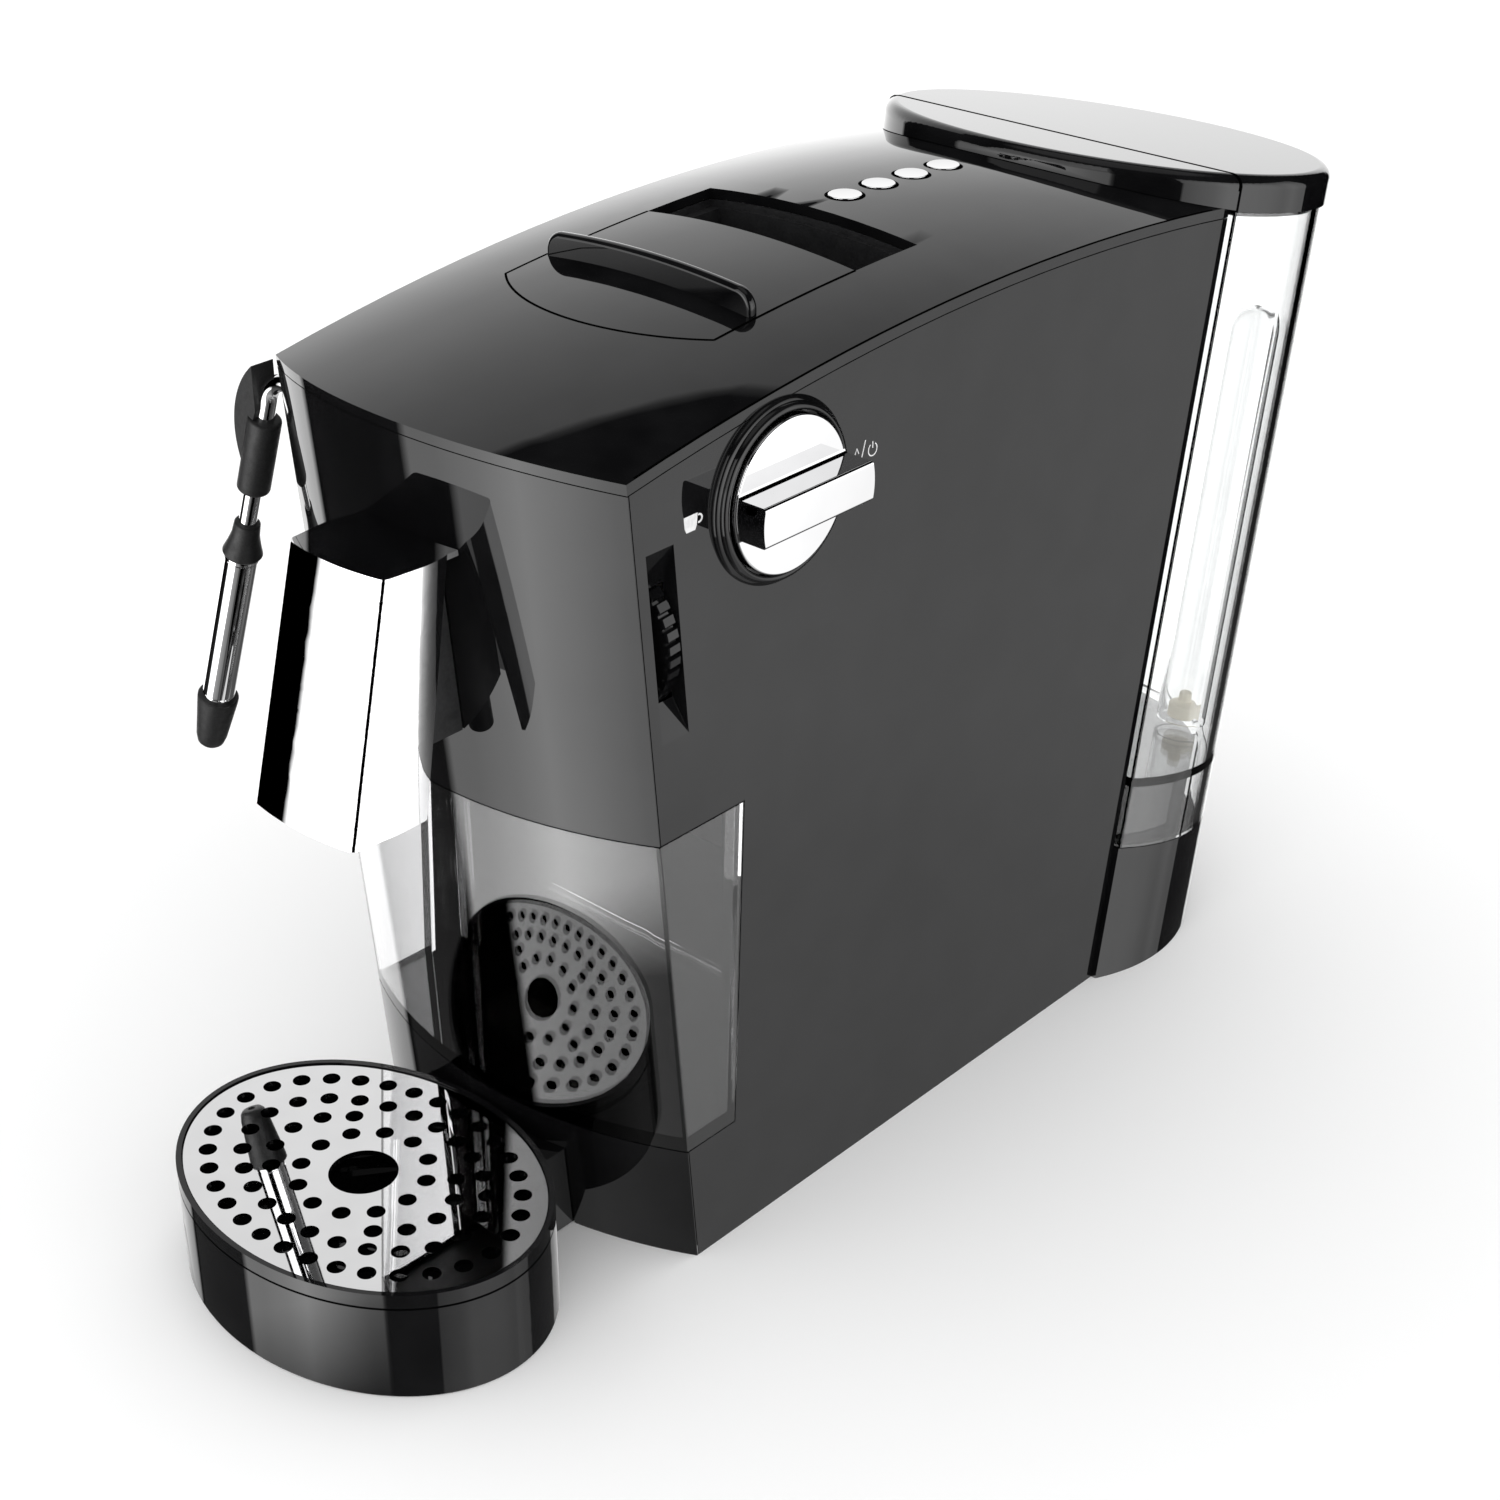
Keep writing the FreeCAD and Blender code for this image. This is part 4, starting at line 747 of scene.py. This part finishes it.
class COFFEE_OT_knob(bpy.types.Operator):
    """Round selector knob with its bar and ring, and the marks beside it"""

    bl_idname = "coffee.knob"
    bl_label = "Selector knob"

    def execute(self, context):
        low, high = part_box("mode_knob")
        ring_low, ring_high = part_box("knob_ring")
        middle = (ring_low + ring_high) / 2
        radius = (high.y - low.y) / 2
        bar_half = settings().control.bar_height / 2
        edge = settings().control.bar_edge
        thick = 3.9 * MM
        face = low.x + thick
        rim = 0.5 * MM
        clearance = 0.05 * MM
        disc_radius = radius - clearance
        profile = [(0.0, disc_radius - rim), *rounded_start(0.0, disc_radius - rim, rim)]
        profile += [(thick - rim, disc_radius)] + rounded(thick - rim, disc_radius - rim, rim)
        disc = lathe("selector", profile, (low.x, middle.y, middle.z), (1, 0, 0), 128)
        shape = bmesh.new()
        shape.from_mesh(disc)
        bpy.data.meshes.remove(disc)
        rows = [(low.x + rim, edge)]
        for t in steps(QUARTER, 0.0, 6):
            rows.append((face + edge - math.sin(t) * edge, edge - math.cos(t) * edge))
        for t in steps(0.0, QUARTER, 6):
            rows.append((high.x - edge + math.sin(t) * edge, math.cos(t) * edge - edge))
        merge(shape, loft([self.bar(x, middle, radius, bar_half, grow) for x, grow in rows]))
        knob = new_piece("selector", smooth_mesh("selector", shape), "chrome", "knob")
        flat_faces(knob)
        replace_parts(knob, "mode_knob")
        self.ring(ring_low, ring_high)
        self.marks(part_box("right_side_panel")[1].x)
        return {"FINISHED"}

    def bar(self, x, middle, radius, half, grow):
        """Outline of the bar at x, with its long sides moved out by grow."""
        end = math.asin(half / radius)
        corners = []
        for side in (0.0, math.pi):
            for turn in steps(side - end, side + end, 13):
                z = math.sin(turn) * radius * (1 + grow / half)
                y = math.copysign(math.sqrt(radius * radius - z * z), math.cos(turn))
                corners.append(Vector((x, middle.y + y, middle.z + z)))
        return corners

    def ring(self, low, high):
        """Ring round the knob with rounded rims."""
        outer = (high.y - low.y) / 2
        # (distance from the panel, inset from the ring's outer edge) in millimetres
        section = [(0.0, 3.3), (0.0, 0.0), (0.5, 0.05), (1.0, 0.3), (1.3, 0.7), (1.5, 1.15), (1.9, 1.2),
                   (2.5, 1.35), (2.9, 1.7), (3.1, 2.1), (3.2, 2.5), (3.1, 2.9), (2.8, 3.2), (2.4, 3.3)]
        profile = [(along, outer - inset) for along, inset in millimetres(section)]
        middle = (low + high) / 2
        mesh = lathe("dial_ring", profile, (low.x, middle.y, middle.z), (1, 0, 0), 128, True)
        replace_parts(new_piece("dial_ring", mesh, "gloss_black", "housing"), "knob_ring")

    def marks(self, face):
        """Filled cup in front of the knob; steam and power outlines behind it."""
        shape = bmesh.new()
        thin = 0.05 * MM
        stroke = 0.32 * MM
        handle = 0.5 * MM
        # (y, z) in millimetres
        cup = ((-94.2, 222.2), (-93.9, 219.2), (-93.3, 218.0), (-90.3, 218.0), (-89.7, 219.2), (-89.4, 222.2))
        steam = ((-31.6, 218.7), (-30.85, 220.3), (-30.1, 218.7))
        slash = ((-28.9, 217.2), (-27.5, 221.6))
        tick = ((-24.6, 218.6), (-24.6, 220.4))
        add_plate(shape, face, millimetres(cup), thin)
        add_ribbon(shape, face, ring_line(-88.9, 220.6, 1.0, -1.9, 1.9, 12), handle, thin)
        for line in (steam, slash):
            add_ribbon(shape, face, millimetres(line), stroke, thin)
        add_ribbon(shape, face, ring_line(-24.6, 218.2, 1.7, 2.1, 7.3, 20), stroke, thin)
        add_ribbon(shape, face, millimetres(tick), stroke, thin)
        mesh = smooth_mesh("knob_marks", shape)
        marks = new_piece("knob_marks", mesh, "white_plastic", "housing", "printed_mark")
        marks.visible_glossy = False


class COFFEE_OT_fin(bpy.types.Operator):
    """Finger fin across the sliding door"""

    bl_idname = "coffee.fin"
    bl_label = "Finger fin"

    def execute(self, context):
        low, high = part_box("slider_grip")
        rim = settings().control.fin_edge
        rows = []
        for t in steps(0.0, QUARTER, 6):
            rows.append((low.y + rim - math.cos(t) * rim, rim - math.sin(t) * rim))
        for t in steps(0.0, QUARTER, 6):
            rows.append((high.y - rim + math.sin(t) * rim, rim - math.cos(t) * rim))
        shape = loft([self.outline(y, low, high, inset) for y, inset in rows])
        fin = new_piece("finger_fin", smooth_mesh("finger_fin", shape), "gloss_black", "slider")
        flat_faces(fin)
        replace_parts(fin, "slider_grip")
        return {"FINISHED"}

    def outline(self, y, low, high, inset):
        """Upright outline of the fin at y, set in from its rim."""
        bow = 294.9 * MM
        corner = 5.5 * MM
        bend = corner - inset
        half = (high.x - low.x) / 2

        def drop(x):
            return bow - math.sqrt(bow * bow - x * x)

        height = high.z - low.z - drop(half)
        inner = half - corner
        centre = high.z - drop(inner) - corner
        points = [(x, high.z - drop(x) - height) for x in steps(half - inset, inset - half, 25)]
        for t in steps(0.0, QUARTER, 12):
            points.append((-inner - math.cos(t) * bend, centre + math.sin(t) * bend))
        points += [(x, high.z - drop(x) - inset) for x in steps(-inner, inner, 25)[1:-1]]
        for t in steps(0.0, QUARTER, 12):
            points.append((inner + math.sin(t) * bend, centre + math.cos(t) * bend))
        return [Vector((x, y, z)) for x, z in points]


class COFFEE_OT_gaps(bpy.types.Operator):
    """Painted shade: dark strips that stand in for the shade in the gaps of the door, the cover and the lid"""

    bl_idname = "coffee.gaps"
    bl_label = "Gap lines"

    def execute(self, context):
        self.door_seam()
        self.cover_line()
        self.lid_tongue()
        return {"FINISHED"}

    def door_seam(self):
        """Painted shade round the sliding door, as dark strips between two distances out from its slot."""
        half = 36.7
        corner = -55.6
        rear = -2.2
        bow = 54.82
        near = 0.04
        far = 0.65
        turn = math.asin(half / bow)
        line = [(-half, y, -1.0, 0.0) for y in steps(rear, corner, 12)]
        for t in steps(-turn, turn, 41):
            y = corner + (math.cos(turn) - math.cos(t)) * bow
            line.append((math.sin(t) * bow, y, math.sin(t), -math.cos(t)))
        line += [(half, y, 1.0, 0.0) for y in steps(corner, rear, 12)]
        strips = []
        for first, second in zip(line, line[1:]):
            places = ((first, near), (second, near), (second, far), (first, far))
            strips.append([(x + u * out, y + v * out) for (x, y, u, v), out in places])
        self.painted_shade_strips("door_seam", strips)

    def cover_line(self):
        """Painted shade along the cover's right edge, as a dark strip."""
        inner = 61.9
        outer = 62.45
        places = steps(-110.0, 126.0, 48)
        self.painted_shade_strips("cover_line", [[(inner, y0), (inner, y1), (outer, y1), (outer, y0)]
                                      for y0, y1 in zip(places, places[1:])])

    def painted_shade_strips(self, name, strips):
        """Dark strips of painted shade on the crowned top, from their (x, y) corners in millimetres."""
        depth = Vector((0, 0, -settings().control.line_depth))
        shortest = 0.01 * MM
        shape = bmesh.new()
        for strip in strips:
            corners = [self.on_top(x, y) for x, y in strip]
            if (corners[0] - corners[1]).length > shortest:
                merge(shape, prism(corners, depth))
        # painted shade: unlit dark strips over the gaps
        new_piece(name, smooth_mesh(name, shape), "matt_black", "housing", "painted_gap_shade")

    def on_top(self, x, y):
        """Point just over the crowned top, from millimetres."""
        lift = 0.1
        reach = CROWN_REACH + math.sqrt(CROWN_RADIUS ** 2 - x * x)
        z = math.sqrt(reach ** 2 - (y - ARCH_Y) ** 2) + ARCH_Z
        return Vector((x, y, z + lift)) * MM

    def lid_tongue(self):
        """Painted shade in the gap between the lid's two parts: a dark strip which follows the lid's rounded rim.
        """
        lift = 0.12 * MM
        overlap = 0.3 * MM
        thick = 0.9 * MM
        outline = [(-65.0, -4.5), (-65.0, -3.5), (-64.7, -2.1), (-64.0, -0.9), (-62.8, -0.1), (-61.4, 0.12),
                   (61.4, 0.12), (62.8, -0.1), (64.0, -0.9), (64.7, -2.1), (65.0, -3.5), (65.0, -4.5)]
        across = Vector((0.0, TANK_AXIS.z, -TANK_AXIS.y))
        edge = Vector((0.0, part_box("lid_front_cap")[1].y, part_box("tank_lid")[1].z + lift))
        edge -= across * overlap
        corners = [edge + Vector((x, 0.0, 0.0)) + TANK_AXIS * z for x, z in millimetres(outline)]
        shape = prism(corners, across * thick)
        new_piece("lid_tongue", smooth_mesh("lid_tongue", shape), "matt_black", "housing", "painted_gap_shade")


class COFFEE_OT_wheel(bpy.types.Operator):
    """Toothed thumb wheel for the steam"""

    bl_idname = "coffee.wheel"
    bl_label = "Steam wheel"

    def execute(self, context):
        joint = next(j for j in frame["joints"] if j["name"] == "steam_turn")
        along = Vector(joint["axis"]).normalized()
        centre = Vector(joint["pos_m"])
        front = -0.6 * MM
        rear = 3.5 * MM
        bevel = 0.3 * MM
        rows = [(front, bevel), (front + bevel, 0.0), (rear - bevel, 0.0), (rear, bevel)]
        shape = loft([self.outline(centre + along * d, along, inset) for d, inset in rows])
        stem = millimetres([(0.0, 3.0), (9.0, 3.0)])
        mesh = lathe("stem", stem, centre, along, 32)
        shape.from_mesh(mesh)
        bpy.data.meshes.remove(mesh)
        wheel = new_piece("thumb_wheel", smooth_mesh("thumb_wheel", shape), "gloss_black", "wheel")
        flat_faces(wheel)
        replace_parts(wheel, "steam_wheel")
        return {"FINISHED"}

    def outline(self, centre, along, inset):
        """Outline of the teeth round a point of the axis."""
        teeth = settings().control.wheel_teeth
        tip = 24.0 * MM - inset
        root = 22.6 * MM - inset
        shoulder = tip - 0.5 * MM
        side = Vector((1, 0, 0))
        other = along.cross(side)
        corners = []
        for tooth in range(teeth):
            for share, radius in ((-0.4, root), (-0.35, tip), (0.22, tip), (0.35, shoulder), (0.4, root)):
                turn = 2 * math.pi * (tooth + share) / teeth
                out = side * math.cos(turn) + other * math.sin(turn)
                corners.append(centre + out * radius)
        return corners


class COFFEE_OT_wand(bpy.types.Operator):
    """Rubber and bright sleeves on the steam wand"""

    bl_idname = "coffee.wand"
    bl_label = "Steam wand"

    def execute(self, context):
        joint = next(j for j in frame["joints"] if j["name"] == "wand_swing")
        upper = sum(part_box("wand_grip"), Vector()) / 2
        lower = sum(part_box("froth_sleeve"), Vector()) / 2
        along = (lower - upper).normalized()
        start = upper + along * ((joint["pos_m"][2] - upper.z) / along.z)
        soft = settings().rubber.rounding
        # (distance along the leg, radius) in millimetres
        grip = [(13.1, 2.6), *round_end(13.1, 4.6, soft), *round_end(37.1, 4.6, soft, -1), (37.1, 2.6)]
        collar = [(48.8, 2.6), (48.8, 3.2), (49.2, 3.6), (53.2, 3.9), (56.6, 4.7), (59.0, 5.45), (59.5, 5.6),
                  (60.0, 5.3), (60.0, 4.75)]
        sleeve = [(58.5, 2.6), (58.5, 4.7), (61.2, 4.7), (61.4, 4.55), (61.7, 4.55), (61.9, 4.7),
                  (111.9, 4.7), (112.1, 4.55), (112.4, 4.55), (112.6, 4.7), (115.4, 4.7), (115.4, 2.6)]
        tip = [(113.9, 4.75), (113.9, 5.6), (114.3, 5.9), (115.4, 5.9), (129.6, 4.5), (132.0, 3.9),
               (132.8, 3.2), (133.1, 2.2), (133.1, 1.2), (132.0, 1.0)]
        for name, node, profile, slot in (
            ("rubber_grip", "wand_grip", grip, "black_rubber"),
            ("rubber_collar", "wand_collar", collar, "black_rubber"),
            ("bright_sleeve", "froth_sleeve", sleeve, "chrome"),
            ("rubber_tip", "wand_tip", tip, "black_rubber"),
        ):
            mesh = lathe(name, millimetres(profile), start, along)
            piece = new_piece(name, mesh, slot, "wand")
            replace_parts(piece, node)
        return {"FINISHED"}


class COFFEE_OT_tank(bpy.types.Operator):
    """Dome-topped tube with its float in the water tank"""

    bl_idname = "coffee.tank"
    bl_label = "Tank tube"

    def execute(self, context):
        foot = Vector((0.0455, 0.1615, 0.0608))
        length = 138.0 * MM
        outer = 8.5 * MM
        wall = 1.2 * MM
        inner = outer - wall
        shoulder = length - outer
        places = (0.0, length * 0.3, length * 0.6, shoulder)
        dome = steps(0.15, 1.5, 10)
        profile = [(d, outer) for d in places]
        profile += [(shoulder + math.sin(t) * outer, math.cos(t) * outer) for t in dome]
        profile += [(shoulder + math.sin(t) * inner, math.cos(t) * inner) for t in reversed(dome)]
        profile += [(d, inner) for d in reversed(places)]
        mesh = lathe("tank_tube", profile, foot, TANK_AXIS, 64, True)
        new_piece("tank_tube", mesh, "clear_tank", "tank")
        body = [(0.6, 0.3), (0.6, 4.6), (1.0, 5.0), (5.0, 5.0), (5.6, 4.4), (6.2, 2.2), (9.0, 2.0),
                (9.4, 1.5), (9.4, 0.3)]
        mesh = lathe("tank_float", millimetres(body), foot, TANK_AXIS)
        # the float's look paints a glow that stands in for light
        new_piece("tank_float", mesh, "white_plastic", "tank", "float_cream_painted_glow")
        return {"FINISHED"}


class COFFEE_OT_bin(bpy.types.Operator):
    """Guide fins and floor ridge inside the capsule bin"""

    bl_idname = "coffee.bin"
    bl_label = "Bin fins"

    def execute(self, context):
        low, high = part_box("capsule_bin")
        above_foot = 4.0 * MM
        below_rim = 2.0 * MM
        ridge_height = 2.0 * MM
        edge = 0.4 * MM
        floor = low.z + above_foot
        tall = high.z - below_rim - floor
        # (x, y) in millimetres
        fin = ((57.0, -68.2), (49.0, -68.2), (49.0, -66.2), (57.0, -66.2))
        ridge = ((-57.0, -32.0), (57.0, -32.0), (57.0, -30.0), (-57.0, -30.0))
        shape = bmesh.new()
        for outline, height in (
            ([(-x, y) for x, y in fin], tall),
            (fin, tall),
            (ridge, ridge_height),
        ):
            rib = prism([Vector((x, y, floor)) for x, y in millimetres(outline)], Vector((0, 0, height)))
            round_off(rib, edge)
            merge(shape, rib)
        new_piece("bin_fins", smooth_mesh("bin_fins", shape), "clear_bin", "bin")
        return {"FINISHED"}


class COFFEE_PT_panel(bpy.types.Panel):
    """Steps and settings of the coffee machine"""

    bl_idname = "COFFEE_PT_panel"
    bl_label = "Coffee machine"
    bl_space_type = "VIEW_3D"
    bl_region_type = "UI"
    bl_category = "Coffee machine"

    def draw(self, context):
        for step in OPERATORS:
            self.layout.operator(step.bl_idname)
        for name in MachineSettings.__annotations__:
            group = getattr(settings(), name)
            box = self.layout.box()
            for setting in type(group).__annotations__:
                box.prop(group, setting)


GROUPS = (ShellSettings, BrightSettings, ClearSettings, RubberSettings, ControlSettings, StudioSettings,
          MachineSettings)
OPERATORS = (COFFEE_OT_stage, COFFEE_OT_solids, COFFEE_OT_buttons, COFFEE_OT_knob, COFFEE_OT_fin,
             COFFEE_OT_gaps, COFFEE_OT_wheel, COFFEE_OT_wand, COFFEE_OT_tank, COFFEE_OT_bin)


def register():
    for item in (*GROUPS, *OPERATORS, COFFEE_PT_panel):
        bpy.utils.register_class(item)
    bpy.types.Scene.coffee_machine = PointerProperty(type=MachineSettings)


def unregister():
    del bpy.types.Scene.coffee_machine
    for item in reversed((*GROUPS, *OPERATORS, COFFEE_PT_panel)):
        bpy.utils.unregister_class(item)


def main():
    register()
    bpy.ops.coffee.stage()
    bpy.ops.coffee.solids()
    bpy.ops.coffee.buttons()
    bpy.ops.coffee.knob()
    bpy.ops.coffee.fin()
    bpy.ops.coffee.gaps()
    bpy.ops.coffee.wheel()
    bpy.ops.coffee.wand()
    bpy.ops.coffee.tank()
    bpy.ops.coffee.bin()


if __name__ == "__main__":
    main()
